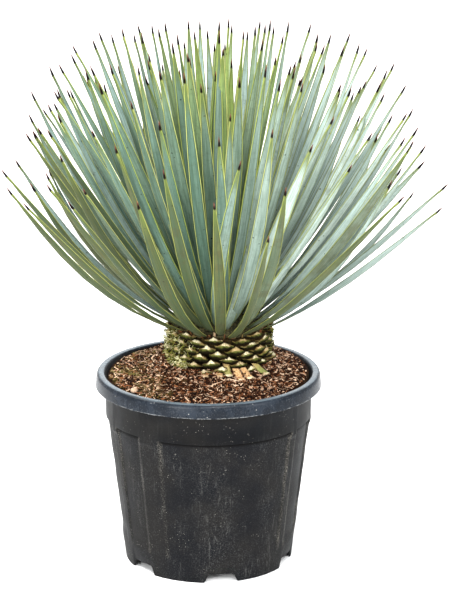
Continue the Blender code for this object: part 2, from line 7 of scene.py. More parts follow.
import bpy
import numpy as np
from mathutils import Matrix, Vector


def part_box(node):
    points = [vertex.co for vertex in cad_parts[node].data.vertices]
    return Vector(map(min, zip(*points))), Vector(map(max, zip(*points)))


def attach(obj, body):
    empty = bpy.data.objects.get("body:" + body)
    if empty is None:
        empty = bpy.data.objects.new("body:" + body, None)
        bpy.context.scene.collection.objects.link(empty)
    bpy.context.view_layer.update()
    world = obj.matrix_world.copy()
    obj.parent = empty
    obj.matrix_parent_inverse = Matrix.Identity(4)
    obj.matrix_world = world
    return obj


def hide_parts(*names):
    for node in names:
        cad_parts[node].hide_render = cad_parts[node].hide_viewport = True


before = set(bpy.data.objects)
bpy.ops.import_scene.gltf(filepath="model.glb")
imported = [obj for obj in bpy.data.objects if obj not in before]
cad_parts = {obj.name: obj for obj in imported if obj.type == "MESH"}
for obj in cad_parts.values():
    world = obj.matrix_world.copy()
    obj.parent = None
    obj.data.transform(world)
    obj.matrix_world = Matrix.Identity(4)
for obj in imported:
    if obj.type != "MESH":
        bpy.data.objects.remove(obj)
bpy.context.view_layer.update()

MM = 0.001

# %% [markdown]
# ## How a surface becomes a piece
# Every piece below is a numpy array of points and a table of faces. Two helpers make both: one
# skins rings that follow each other, such as the sections of a leaf, and one closes a turned
# shape with a point at each end. A third puts them into a mesh at once, without a loop over the
# points, and turns the faces outwards by the sign of the enclosed volume.


# %% Skins and lathes
def ring_skin(count, sides):
    """Faces of four corners that join each of count rings to the next, side by side."""
    ring = np.arange(count - 1)[:, None] * sides
    corner = np.arange(sides)[None, :]
    beside = (corner + 1) % sides
    skin = np.stack([ring + corner, ring + beside, ring + sides + beside, ring + sides + corner], -1)
    return skin.reshape(-1, 4)


def loft(rings):
    """Skins a batch of shapes rings[shape, ring, corner] from ring to ring, and fills both ends."""
    shapes, count, sides, _ = rings.shape
    ends = np.stack([np.arange(sides)[::-1], np.arange(sides) + (count - 1) * sides])
    first = (np.arange(shapes) * count * sides)[:, None, None]
    skin = ring_skin(count, sides) + first
    return rings.reshape(-1, 3), [skin.reshape(-1, 4), (ends + first).reshape(-1, sides)]


def lathe(rings, start, end):
    """Skins rings[ring, corner] round an axis, and closes the first and last ring to a single point."""
    count, sides, _ = rings.shape
    last = (count - 1) * sides
    around = np.arange(sides)
    after = (around + 1) % sides
    top = np.stack([after, around, np.full(sides, count * sides)], -1)
    bottom = np.stack([last + around, last + after, np.full(sides, count * sides + 1)], -1)
    points = np.concatenate([rings.reshape(-1, 3), [start], [end]])
    return points, [ring_skin(count, sides), np.concatenate([top, bottom])]


def volume_of(points, faces):
    """Sum of the volumes of the cones from the origin to each face, split into triangles."""
    total = 0.0
    for group in faces:
        for k in range(1, group.shape[1] - 1):
            a, b, c = points[group[:, 0]], points[group[:, k]], points[group[:, k + 1]]
            total += (a * np.cross(b, c)).sum() / 6
    return total


# %% Into a mesh
def make_piece(name, surface, material, values=None, replaced=(), crease=None):
    """Makes an object of points and faces, with a number or vector per point for each named value.
    An edge between two points that crease marks is a sharp one."""
    points, faces = surface
    if volume_of(points, faces) < 0:
        faces = [group[:, ::-1] for group in faces]
    corners = np.concatenate([group.ravel() for group in faces])
    sizes = np.concatenate([np.full(len(group), group.shape[1]) for group in faces])
    mesh = bpy.data.meshes.new(name)
    mesh.vertices.add(len(points))
    mesh.vertices.foreach_set("co", np.ascontiguousarray(points, np.float32).ravel())
    mesh.loops.add(len(corners))
    mesh.loops.foreach_set("vertex_index", corners.astype(np.int32))
    mesh.polygons.add(len(sizes))
    mesh.polygons.foreach_set("loop_start", (np.cumsum(sizes) - sizes).astype(np.int32))
    mesh.polygons.foreach_set("use_smooth", np.ones(len(sizes), bool))
    for key, value in (values or {}).items():
        kind, field = ("FLOAT", "value") if value.ndim == 1 else ("FLOAT_VECTOR", "vector")
        mesh.attributes.new(key, kind, "POINT").data.foreach_set(field, value.astype(np.float32).ravel())
    mesh.update(calc_edges=True)
    if crease is not None:
        ends = np.empty(2 * len(mesh.edges), np.int32)
        mesh.edges.foreach_get("vertices", ends)
        mesh.edges.foreach_set("use_edge_sharp", crease[ends].reshape(-1, 2).all(1))
    mesh.validate()
    mesh.materials.append(material)
    piece = bpy.data.objects.new(name, mesh)
    bpy.context.scene.collection.objects.link(piece)
    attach(piece, "root")
    if replaced:
        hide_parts(*replaced)
    print(f"{name}: {len(points)} points, {int((sizes - 2).sum())} triangles")
    return piece


# %% [markdown]
# ## The viewpoint
# The plant was photographed from a little above the leaves, with a long lens from nearly four
# metres away. A long lens keeps the pot's sides almost parallel. The camera is aimed a little to
# the right of the pot, because the plant stands left of the middle of the picture.

# %% Camera
CAMERA_PLACE = (0.0, -3.607, 1.442)
CAMERA_AIM = (0.0234, 0.0, 0.378)
CAMERA_LENS = 160.9


def turned_to(place, aim):
    """The turn that points a camera or a lamp, which looks along its own -Z, from place to aim."""
    return (Vector(aim) - Vector(place)).to_track_quat("-Z", "Y").to_euler()


camera_data = bpy.data.cameras.new("camera")
camera_data.lens = CAMERA_LENS
camera_data.clip_end = 50.0
camera = bpy.data.objects.new("camera", camera_data)
camera.location = CAMERA_PLACE
camera.rotation_euler = turned_to(CAMERA_PLACE, CAMERA_AIM)
bpy.context.scene.collection.objects.link(camera)
bpy.context.scene.camera = camera
print("camera looks down", round(90 - np.degrees(camera.rotation_euler[0]), 2), "degrees")

# %% [markdown]
# ## Light
# A soft white dome, a little brighter overhead, fills the shadows. The key lamp stands high on the
# left, behind the pot's axis, and reaches the hollow sides of the leaves on the right, which turn
# up to the left. A lamp above the camera and a low one on the left light the undersides in front.
# A weak one on the right fills the leaves' shaded sides there, and a broad lamp far behind the
# plant draws a bright line along the rolled rim.

# %% World and lamps
DOME_STRENGTH_LEVEL = 1.12
DOME_STRENGTH_OVERHEAD = 1.90
DOME_FULL_FROM = 0.9
bpy.context.scene.view_settings.view_transform = "Standard"
world = bpy.data.worlds.new("white_studio")
world.use_nodes = True
tree = world.node_tree
way = tree.nodes.new("ShaderNodeTexCoord").outputs["Generated"]
upward = tree.nodes.new("ShaderNodeSeparateXYZ")
tree.links.new(way, upward.inputs[0])
dome = tree.nodes.new("ShaderNodeMapRange")
tree.links.new(upward.outputs["Z"], dome.inputs["Value"])
dome.inputs["From Max"].default_value = DOME_FULL_FROM
dome.inputs["To Min"].default_value = DOME_STRENGTH_LEVEL
dome.inputs["To Max"].default_value = DOME_STRENGTH_OVERHEAD
tree.links.new(dome.outputs["Result"], tree.nodes["Background"].inputs["Strength"])
tree.nodes["Background"].inputs["Color"].default_value = (0.97, 0.99, 1.0, 1.0)
bpy.context.scene.world = world


def softbox(name, place, aim, size, power, colour=(1.0, 1.0, 1.0)):
    """A square lamp of that side in metres, at place and turned to aim."""
    data = bpy.data.lights.new(name, "AREA")
    data.size = size
    data.energy = power
    data.color = colour
    lamp = bpy.data.objects.new(name, data)
    lamp.location = place
    lamp.rotation_euler = turned_to(place, aim)
    bpy.context.scene.collection.objects.link(lamp)
    return lamp


softbox("key_lamp", (-2.0, 0.1, 2.95), (0.0, 0.0, 0.45), 1.5, 100.0, (1.0, 0.98, 0.95))
softbox("front_lamp", (0.4, -3.2, 2.6), (0.0, 0.0, 0.40), 1.0, 100.0)
softbox("low_lamp", (-1.5, -2.8, 1.0), (0.1, 0.0, 0.50), 1.0, 85.0)
softbox("side_lamp", (2.4, -2.2, 1.3), (0.15, 0.0, 0.50), 1.2, 50.0)
softbox("far_lamp", (0.0, 4.0, 1.6), (0.0, 0.0, 0.30), 1.8, 26.0, (0.93, 0.97, 1.0))

# %% [markdown]
# ## Node helpers
# A finish is a small network of shader nodes. These helpers add a node, link or set its inputs,
# and name the few patterns that all the finishes use: cloudy noise, round spots, soft steps.


# %% Shader nodes
def feed(tree, socket, value):
    """Links an output to a socket, or sets the socket's own value."""
    if isinstance(value, bpy.types.NodeSocket):
        tree.links.new(value, socket)
    elif socket.type == "RGBA":
        socket.default_value = (*value, 1.0)
    else:
        socket.default_value = value


def add_node(tree, kind, inputs, **settings):
    """Adds a shader node and feeds its inputs, which are given by name or number."""
    made = tree.nodes.new("ShaderNode" + kind)
    for key, value in settings.items():
        setattr(made, key, value)
    for key, value in inputs.items():
        feed(tree, made.inputs[key], value)
    return made


def own_value(tree, name, output="Fac"):
    """Reads a value that the mesh carries at its points."""
    return add_node(tree, "Attribute", {}, attribute_name=name).outputs[output]


def on_object(tree, stretch=(1.0, 1.0, 1.0)):
    """Object coordinates in metres, times a stretch for each axis."""
    place = add_node(tree, "TexCoord", {}).outputs["Object"]
    return add_node(tree, "Mapping", {"Vector": place, "Scale": stretch}).outputs["Vector"]


def noise(tree, place, scale, detail=3.0, roughness=0.55):
    """Cloudy noise from 0 to 1 that varies over 1/scale metres."""
    inputs = {"Vector": place, "Scale": scale, "Detail": detail, "Roughness": roughness}
    return add_node(tree, "TexNoise", inputs).outputs["Fac"]


def cells(tree, place, scale):
    """Distance to the nearest of many scattered points, in cells."""
    return add_node(tree, "TexVoronoi", {"Vector": place, "Scale": scale}).outputs["Distance"]


def soft_step(tree, value, low, high, first=0.0, second=1.0):
    """first below low, second above high, and a smooth turn between them."""
    inputs = {"Value": value, "From Min": low, "From Max": high, "To Min": first, "To Max": second}
    return add_node(tree, "MapRange", inputs, interpolation_type="SMOOTHSTEP").outputs["Result"]


def blend(tree, share, first, second):
    """Two colours mixed by a share from 0 to 1. Inputs 6 and 7 and output 2 are the node's colours."""
    return add_node(tree, "Mix", {0: share, 6: first, 7: second}, data_type="RGBA").outputs[2]


def times(tree, first, second):
    """The product of two numbers."""
    return add_node(tree, "Math", {0: first, 1: second}, operation="MULTIPLY").outputs[0]


def plus(tree, first, second):
    """The sum of two numbers."""
    return add_node(tree, "Math", {0: first, 1: second}, operation="ADD").outputs[0]


def finish_shader(tree, colour, roughness, height=None, depth=0.0, specular=0.5):
    """Feeds the shader its colour and roughness, and a bump of that depth in metres."""
    shader = tree.nodes["Principled BSDF"]
    feed(tree, shader.inputs["Base Color"], colour)
    feed(tree, shader.inputs["Roughness"], roughness)
    shader.inputs["Specular IOR Level"].default_value = specular
    if height is not None:
        bump = add_node(tree, "Bump", {"Height": height, "Distance": depth})
        tree.links.new(bump.outputs["Normal"], shader.inputs["Normal"])


def new_finish(name):
    """An empty material and its node tree."""
    made = bpy.data.materials.new(name)
    made.use_nodes = True
    return made, made.node_tree


# %% [markdown]
# ## The floor
# The photograph's ground is pure white. A pale matt sheet gives the pot something to stand on
# and keeps a faint shadow round its foot.

# %% Floor sheet
FLOOR_HALF = 6.0
floor_finish, tree = new_finish("pale_floor")
clouds = noise(tree, on_object(tree), 3.0)
finish_shader(tree, (0.92, 0.92, 0.92), soft_step(tree, clouds, 0.2, 0.8, 0.85, 0.95))
floor_corners = [(x * FLOOR_HALF, y * FLOOR_HALF, 0) for x, y in ((-1, -1), (1, -1), (1, 1), (-1, 1))]
floor_mesh = bpy.data.meshes.new("studio_floor")
floor_mesh.from_pydata(floor_corners, [], [(0, 1, 2, 3)])
floor_mesh.materials.append(floor_finish)
studio_floor = bpy.data.objects.new("studio_floor", floor_mesh)
bpy.context.scene.collection.objects.link(studio_floor)

# %% [markdown]
# ## The pot's outline
# A nursery pot is moulded in one piece: a raised floor, a thin tapered wall, a straight collar
# and a rim that is rolled over into a hanging skirt. The outline is a list of corners, each
# rounded by its own radius with a short curve, which is turned round the pot's axis.

# %% Pot sizes
POT_HEIGHT = 275 * MM
COLLAR_RADIUS = 145.5 * MM
COLLAR_FOOT = 206 * MM
STEP_FOOT = 201 * MM
STEP_RADIUS = 143 * MM
BASE_RADIUS = 119 * MM
WALL = 3.4 * MM
LEDGE = 213 * MM
INNER_STEP_FOOT = 214 * MM
RECESS_FOOT = 34 * MM
RECESS_FULL = 48 * MM
SKIRT_FOOT = 256 * MM
SKIRT_RADIUS = 160 * MM
SKIRT_TOP = 271.5 * MM
FLOOR_RAISED = 12 * MM
FLOOR_TOP = 15 * MM
DISC_RADIUS = 49 * MM
DISC_TOP = 3 * MM
LEDGE_HALF = 0.08 * MM
POT_COLUMNS = 432


def wall_radius(height):
    """Outer radius of the tapered wall, which grows evenly from the base to the step."""
    return BASE_RADIUS + (STEP_RADIUS - BASE_RADIUS) * height / STEP_FOOT


def rounded(corners, steps=3):
    """Replaces each corner (radius, height, rounding in mm) by a curve between two points, which are
    set back from it by its rounding."""
    corners = np.array(corners, float)
    places, backs = corners[:, :2], corners[1:-1, 2:] * MM
    before = places[:-2] - places[1:-1]
    after = places[2:] - places[1:-1]
    start = places[1:-1] + before / np.linalg.norm(before, axis=1, keepdims=True) * backs
    end = places[1:-1] + after / np.linalg.norm(after, axis=1, keepdims=True) * backs
    t = np.linspace(0, 1, steps + 1)[None, :, None]
    curve = start[:, None] * (1 - t) ** 2 + places[1:-1, None] * 2 * t * (1 - t) + end[:, None] * t ** 2
    return np.concatenate([places[:1], curve.reshape(-1, 2), places[-1:]])


# %% The outline from inside to underneath
upper_outline = rounded([
    (2 * MM, DISC_TOP, 0), (47.5 * MM, DISC_TOP, 1.5), (52.5 * MM, FLOOR_TOP, 1.5),
    (wall_radius(FLOOR_TOP) - WALL, FLOOR_TOP, 1.5),
    (wall_radius(INNER_STEP_FOOT) - WALL, INNER_STEP_FOOT, 1),
    (COLLAR_RADIUS - WALL, INNER_STEP_FOOT + 5 * MM, 1), (COLLAR_RADIUS - WALL + 0.4 * MM, 268 * MM, 1.5),
    (146 * MM, 272.6 * MM, 1.2), (148 * MM, POT_HEIGHT, 1.4), (155.6 * MM, POT_HEIGHT, 1.8),
    (158.2 * MM, 271.6 * MM, 2.4), (SKIRT_RADIUS, SKIRT_FOOT, 0.6), (157.6 * MM, SKIRT_FOOT, 0.5),
    (155.7 * MM, SKIRT_TOP, 1), (COLLAR_RADIUS + 0.4 * MM, SKIRT_TOP, 0.8),
    (COLLAR_RADIUS, LEDGE + LEDGE_HALF, 0)])
wall_heights = np.concatenate([
    [LEDGE - LEDGE_HALF], np.array((212, 210.5, 209, 207, 206.3, 205.6, 204, 202.2, 201.3, 200.4, 197)) * MM,
    np.linspace(190, 60, 14) * MM,
    np.linspace(52, 30, 9) * MM, np.linspace(25, 2, 7) * MM])
step_out = np.interp(wall_heights, (STEP_FOOT, COLLAR_FOOT), (STEP_RADIUS, COLLAR_RADIUS))
wall_radii = np.where(wall_heights > STEP_FOOT, step_out, wall_radius(wall_heights))
wall_outline = np.stack([wall_radii, wall_heights], -1)
foot_outline = rounded([
    (BASE_RADIUS + 0.2 * MM, 2 * MM, 0), (BASE_RADIUS, 0, 0.8), (BASE_RADIUS - WALL, 0, 0.8),
    (BASE_RADIUS - WALL, FLOOR_RAISED, 1), (54 * MM, FLOOR_RAISED, 1), (DISC_RADIUS, 0, 1),
    (2 * MM, 0, 0)])[1:]
pot_outline = np.concatenate([upper_outline, wall_outline, foot_outline])
print("pot outline has", len(pot_outline), "rings")

# %% [markdown]
# ## What is pressed into the pot
# Three wide panels and three narrow flutes are sunk into the wall, a little way up into the
# collar, and six notches are cut from the foot so that water can run out. Each is a function of
# the angle round the pot, so the turned surface is pushed in or lifted where the function says,
# and no cutting is needed.


# %% Panels, flutes, notches
PANEL_DEPTH, PANEL_MIDDLE, PANEL_HALF = 1.5 * MM, 12, 40
FLUTE_DEPTH, FLUTE_MIDDLE, FLUTE_HALF = 1.9 * MM, -52, 9.5
PRESS_SOFT = 1.8
NOTCH_HEIGHT, NOTCH_MIDDLE, NOTCH_HALF, NOTCH_SOFT = 13 * MM, 8.5, 11.5, 3.0
NOTCH_WALL_TOP = 11.5 * MM
NOTCH_INNER_TOP = 11.8 * MM


def within(angle, middle, half, soft):
    """1 within half degrees of middle, 0 beyond, with a turn that is soft degrees wide."""
    away = np.abs((angle - middle + 180) % 360 - 180)
    t = np.clip((half + soft / 2 - away) / soft, 0, 1)
    return t * t * (3 - 2 * t)


pot_angle = np.arange(POT_COLUMNS) * 360 / POT_COLUMNS
press = np.zeros(POT_COLUMNS)
foot_lift = np.zeros(POT_COLUMNS)
for turn in (0, 120, 240):
    for depth, middle, half in (
            (PANEL_DEPTH, PANEL_MIDDLE, PANEL_HALF), (FLUTE_DEPTH, FLUTE_MIDDLE, FLUTE_HALF)):
        press = np.maximum(press, depth * within(pot_angle, middle + turn, half, PRESS_SOFT))
for turn in range(0, 360, 60):
    away = np.abs((pot_angle - NOTCH_MIDDLE - turn + 180) % 360 - 180)
    foot_lift = np.maximum(foot_lift, NOTCH_HEIGHT * np.clip((NOTCH_HALF - away) / NOTCH_SOFT, 0, 1))


# %% [markdown]
# A used pot isn't quite round, and the skirt's lower edge is rough where it left the mould. Slow
# waves move the wall by a few tenths of a millimetre, and quick ones nick the skirt.


# %% The pot's surface
GROOVE_DEPTH = 0.9 * MM
GROOVE_HEIGHT = 5.5 * MM
GROOVE_SOFT = 2.5 * MM


def pot_surface():
    """Turns the outline; sinks the wall by press, lifts the foot by foot_lift, and adds small waves."""
    radius, height = (np.repeat(pot_outline[:, k:k + 1], POT_COLUMNS, axis=1) for k in (0, 1))
    below_ledge = (np.arange(len(pot_outline)) >= len(upper_outline))[:, None]
    outer = below_ledge & (radius > BASE_RADIUS)
    depth = np.clip((height - RECESS_FOOT) / (RECESS_FULL - RECESS_FOOT), 0, 1)
    sunk = wall_radius(height) - press * depth ** 1.5
    ledge_share = np.clip(press / PANEL_DEPTH, 0, 1)
    radius = np.where(outer & (height < LEDGE), radius - ledge_share * np.maximum(radius - sunk, 0), radius)
    low = (radius > BASE_RADIUS - WALL - 1 * MM) & (height < RECESS_FOOT)
    lift = np.where(outer | (radius > BASE_RADIUS - 1 * MM), foot_lift, np.minimum(foot_lift, NOTCH_WALL_TOP))
    lifted = lift + height * (1 - lift / RECESS_FOOT)
    near_foot = low & below_ledge
    inner_foot = near_foot & (radius < BASE_RADIUS - 2 * MM)
    height = np.where(near_foot & ~inner_foot, lifted, height)
    height = np.where(inner_foot, np.maximum(height, np.minimum(foot_lift, NOTCH_INNER_TOP)), height)
    turn = np.radians(pot_angle - 90)[None]
    waves = 0.22 * np.sin(3 * turn + 14 * height / 0.1) + 0.15 * np.sin(7 * turn - 9 * height / 0.1 + 1)
    radius = radius + waves * MM * (radius > 100 * MM) * (height < 250 * MM) * (height > 20 * MM)
    groove = np.clip((height - LEDGE + GROOVE_HEIGHT) / GROOVE_SOFT, 0, 1)
    under_ledge = np.where(outer & (height < LEDGE), ledge_share * groove, 0.0)
    radius = radius - GROOVE_DEPTH * under_ledge
    rough = np.random.default_rng(5).normal(0, 0.16, POT_COLUMNS) + 0.2 * np.sin(31 * turn[0])
    skirt = (radius > 156 * MM) & (height < SKIRT_FOOT + 0.7 * MM) & (height > 250 * MM)
    height = height + np.where(skirt, rough * MM, 0)
    rings = np.stack([radius * np.cos(turn), radius * np.sin(turn), height], -1)
    corner = np.abs(np.roll(press, -1) - np.roll(press, 1)) / (0.8 * MM)
    rib = np.where(outer & (height < LEDGE) & (height > RECESS_FOOT), np.minimum(corner, 1), 0.0)
    ends = np.zeros(2)
    values = {"rib": np.append(rib, ends), "ledge_shade": np.append(under_ledge, ends)}
    return lathe(rings, (0, 0, DISC_TOP), (0, 0, 0)), values


# %% [markdown]
# ## Black plastic
# Recycled black plastic is never quite black: it is a dark grey with a dull shine, cloudy where
# water has dried on it. Fine pale scratches run down the wall, where pots are pushed into each
# other, the corners of the panels are painted pale, partly rubbed wear and partly a painted
# highlight, and specks of dust sit everywhere. The collar is sheltered by the rim and stays
# cleaner.

# %% Wall finish
wall_finish, tree = new_finish("pot_black_plastic")
place = on_object(tree)
clouds = noise(tree, place, 16.0, 4.0)
height_of = add_node(tree, "SeparateXYZ", {0: place}).outputs["Z"]
patches = noise(tree, on_object(tree, (1.0, 1.0, 0.4)), 26.0, 3.0, 0.6)
streaks = noise(tree, on_object(tree, (1.0, 1.0, 0.06)), 260.0, 4.0, 0.75)
mottle = noise(tree, place, 650.0, 3.0, 0.7)
colour = blend(tree, soft_step(tree, clouds, 0.35, 0.7), (0.0030, 0.0034, 0.0044), (0.0078, 0.0074, 0.0070))
bloom = times(tree, soft_step(tree, mottle, 0.50, 0.68), soft_step(tree, patches, 0.34, 0.66, 0.3, 1.0))
below_collar = soft_step(tree, height_of, 0.200, 0.225, 1.0, 0.22)
bloom = times(tree, bloom, below_collar)
colour = blend(tree, times(tree, bloom, 0.28), colour, (0.12, 0.122, 0.12))
scratched = times(tree, soft_step(tree, streaks, 0.54, 0.68), soft_step(tree, patches, 0.40, 0.60))
scratched = times(tree, scratched, below_collar)
colour = blend(tree, times(tree, scratched, 0.13), colour, (0.24, 0.235, 0.22))
# Painted highlight with wear: the panel and flute corners are painted paler, partly rubbed and partly as
# edges catching the light
rubbed_and_highlit = times(tree, own_value(tree, "rib"), soft_step(tree, mottle, 0.45, 0.66, 0.0, 0.5))
rubbed_and_highlit = times(tree, rubbed_and_highlit, soft_step(tree, patches, 0.40, 0.62, 0.20, 1.0))
colour = blend(tree, rubbed_and_highlit, colour, (0.20, 0.185, 0.155))
dust = soft_step(tree, cells(tree, place, 260.0), 0.06, 0.14, 1.0, 0.0)
dusty = soft_step(tree, noise(tree, place, 40.0, 2.0), 0.52, 0.64)
colour = blend(tree, times(tree, times(tree, dust, dusty), 0.5), colour, (0.5, 0.47, 0.42))
colour = blend(tree, own_value(tree, "ledge_shade"), colour, (0.0005, 0.0005, 0.0005))
grain = noise(tree, place, 1400.0, 2.0)
relief = plus(tree, times(tree, grain, 0.4), times(tree, streaks, 0.6))
finish_shader(tree, colour, soft_step(tree, clouds, 0.3, 0.75, 0.44, 0.60), relief, 0.18 * MM, 0.06)

# %% [markdown]
# The rolled rim is handled more and faces the sky. It is smoother than the wall and bluer, so
# the lamps draw a bright line along its bend, and its flat top is painted a lighter blue-grey, a
# painted highlight together with some wear. Its lower edge is nicked and pale from the mould.

# %% Rim finish
rim_finish, tree = new_finish("pot_rim_plastic")
place = on_object(tree)
height_of = add_node(tree, "SeparateXYZ", {0: place}).outputs["Z"]
clouds = noise(tree, place, 30.0, 4.0, 0.65)
mottle = noise(tree, place, 500.0, 3.0, 0.7)
colour = blend(tree, soft_step(tree, clouds, 0.35, 0.7), (0.0050, 0.0070, 0.0105), (0.013, 0.018, 0.026))
colour = blend(tree, soft_step(tree, mottle, 0.52, 0.70, 0.0, 0.10), colour, (0.20, 0.22, 0.24))
dust = soft_step(tree, cells(tree, place, 200.0), 0.10, 0.17, 1.0, 0.0)
dusty = soft_step(tree, noise(tree, place, 60.0, 2.0), 0.50, 0.64)
colour = blend(tree, times(tree, times(tree, dust, dusty), 0.5), colour, (0.5, 0.49, 0.46))
# Painted highlight with some wear: a lighter blue-grey band along the rim's flat top
worn_and_highlit_top = times(tree, soft_step(tree, height_of, 0.2741, 0.2748), soft_step(tree, clouds, 0.30, 0.60, 0.3, 0.8))
colour = blend(tree, worn_and_highlit_top, colour, (0.12, 0.15, 0.175))
flash = soft_step(tree, height_of, 0.2566, 0.2574, 1.0, 0.0)
nicks = soft_step(tree, noise(tree, place, 110.0, 3.0, 0.7), 0.42, 0.6)
colour = blend(tree, times(tree, times(tree, flash, nicks), 0.5), colour, (0.26, 0.27, 0.27))
roughness = soft_step(tree, plus(tree, times(tree, mottle, 0.4), clouds), 0.5, 0.9, 0.20, 0.36)
finish_shader(tree, colour, roughness, mottle, 0.10 * MM, 0.11)

# %% Make the pot
pot_skin, pot_values = pot_surface()
pot_shell = make_piece("pot_shell", pot_skin, wall_finish, pot_values, ["pot"])
pot_shell.data.materials.append(rim_finish)
centres = np.empty(3 * len(pot_shell.data.polygons), np.float32)
pot_shell.data.polygons.foreach_get("center", centres)
centres = centres.reshape(-1, 3)
from_axis = np.hypot(centres[:, 0], centres[:, 1])
on_rim = (from_axis > COLLAR_RADIUS + 1 * MM) & (centres[:, 2] > SKIRT_FOOT - 1 * MM)
pot_shell.data.polygons.foreach_set("material_index", on_rim.astype(np.int32))
print("rim faces", int(on_rim.sum()))

# %% [markdown]
# ## The soil
# The pot holds a mix of fine bark, coir and peat, pressed a little against the trunk. The body
# of it is one dark, lumpy surface. What the eye reads as soil is the litter of chips on top.

# %% Soil sizes
SOIL_EDGE = 268 * MM
SOIL_RADIUS = 141.8 * MM
TRUNK_CENTRE = np.array((16 * MM, 30 * MM))
TRUNK_RADIUS = 66 * MM
PEBBLE_PLACE = np.array((-103 * MM, -85 * MM))
PEBBLE_CLEAR = 8 * MM
LITTER_FROM_TRUNK = 70 * MM


def value_noise(x, y, cell, seed):
    """Random heights from -1 to 1 on a grid of that cell, eased smoothly from knot to knot."""
    table = np.random.default_rng(seed).uniform(-1, 1, (97, 97))
    column, row = np.floor(x / cell).astype(int), np.floor(y / cell).astype(int)
    fx, fy = x / cell - column, y / cell - row
    fx, fy = fx * fx * (3 - 2 * fx), fy * fy * (3 - 2 * fy)
    low = table[column % 97, row % 97] * (1 - fx) + table[(column + 1) % 97, row % 97] * fx
    high = table[column % 97, (row + 1) % 97] * (1 - fx) + table[(column + 1) % 97, (row + 1) % 97] * fx
    return low * (1 - fy) + high * fy


def soil_height(x, y):
    """Level soil with a mound round the trunk, and low lumps that fade out beside it."""
    away = np.hypot(x - TRUNK_CENTRE[0], y - TRUNK_CENTRE[1])
    fall = np.clip((away - TRUNK_RADIUS) / (105 * MM), 0, 1)
    lumps = np.sin(97 * x + 2.1 * np.sin(61 * y)) + np.sin(113 * y + 1.7 * np.sin(83 * x) + 0.8)
    return SOIL_EDGE + 18.5 * MM * (1 - fall) ** 1.6 + 0.55 * MM * lumps * np.minimum(4 * fall, 1)


# %% The body of the soil
def soil_surface():
    """Rings at the soil's height, roughened by two grains of noise, and below them the pot's inner shape."""
    turn = np.linspace(0, 2 * np.pi, 241)[None, :-1]
    radius = SOIL_RADIUS * np.sqrt(np.linspace(0.002, 1, 95))[:, None]
    x, y = radius * np.cos(turn), radius * np.sin(turn)
    crumbs = 0.9 * value_noise(x, y, 5 * MM, 1) + 0.7 * value_noise(x, y, 2.2 * MM, 2)
    top = np.stack([x, y, soil_height(x, y) + crumbs * MM], -1)
    below = [(wall_radius(h) - WALL - 0.5 * MM, h) for h in np.array((203, 190, 120, 60, 16)) * MM]
    sides = np.array([(141.6 * MM, 240 * MM), (141.6 * MM, 222 * MM), (140.4 * MM, 213 * MM), *below,
                      (53 * MM, 16 * MM), (47 * MM, 4 * MM)])
    lower = np.stack([sides[:, :1] * np.cos(turn), sides[:, :1] * np.sin(turn), sides[:, 1:] + 0 * turn], -1)
    return lathe(np.concatenate([top, lower]), (0, 0, soil_height(0.0, 0.0)), (0, 0, 4 * MM))


soil_finish, tree = new_finish("dark_soil")
place = on_object(tree)
crumbs = noise(tree, place, 420.0, 4.0, 0.65)
colour = blend(tree, soft_step(tree, crumbs, 0.35, 0.7), (0.004, 0.0014, 0.0006), (0.032, 0.011, 0.0045))
dry = soft_step(tree, noise(tree, place, 60.0), 0.45, 0.7, 0.0, 0.45)
colour = blend(tree, dry, colour, (0.050, 0.034, 0.013))
finish_shader(tree, colour, soft_step(tree, crumbs, 0.3, 0.7, 0.98, 0.80), crumbs, 1.2 * MM, 0.05)
make_piece("soil_body", soil_surface(), soil_finish, replaced=["soil"])

# %% [markdown]
# ## Bark chips and fibres
# Thousands of splinters lie criss-cross on the soil, from dark brown crumbs to pale, almost
# pink slivers of wood. Each is a bent, tapered block of a few faces, laid on the soil's own height
# with a random turn and tilt. They differ in length and colour, but come from one rule.


# %% Scatter on the soil
def soil_places(count, rng, reach):
    """Random points spread evenly over the soil inside reach, outside the trunk and clear of the pebble."""
    radius = reach * np.sqrt(rng.uniform(0, 1, count * 2))
    turn = rng.uniform(0, 2 * np.pi, count * 2)
    x, y = radius * np.cos(turn), radius * np.sin(turn)
    free = np.hypot(x - TRUNK_CENTRE[0], y - TRUNK_CENTRE[1]) > LITTER_FROM_TRUNK
    free &= np.hypot(x - PEBBLE_PLACE[0], y - PEBBLE_PLACE[1]) > PEBBLE_CLEAR
    return x[free][:count], y[free][:count]


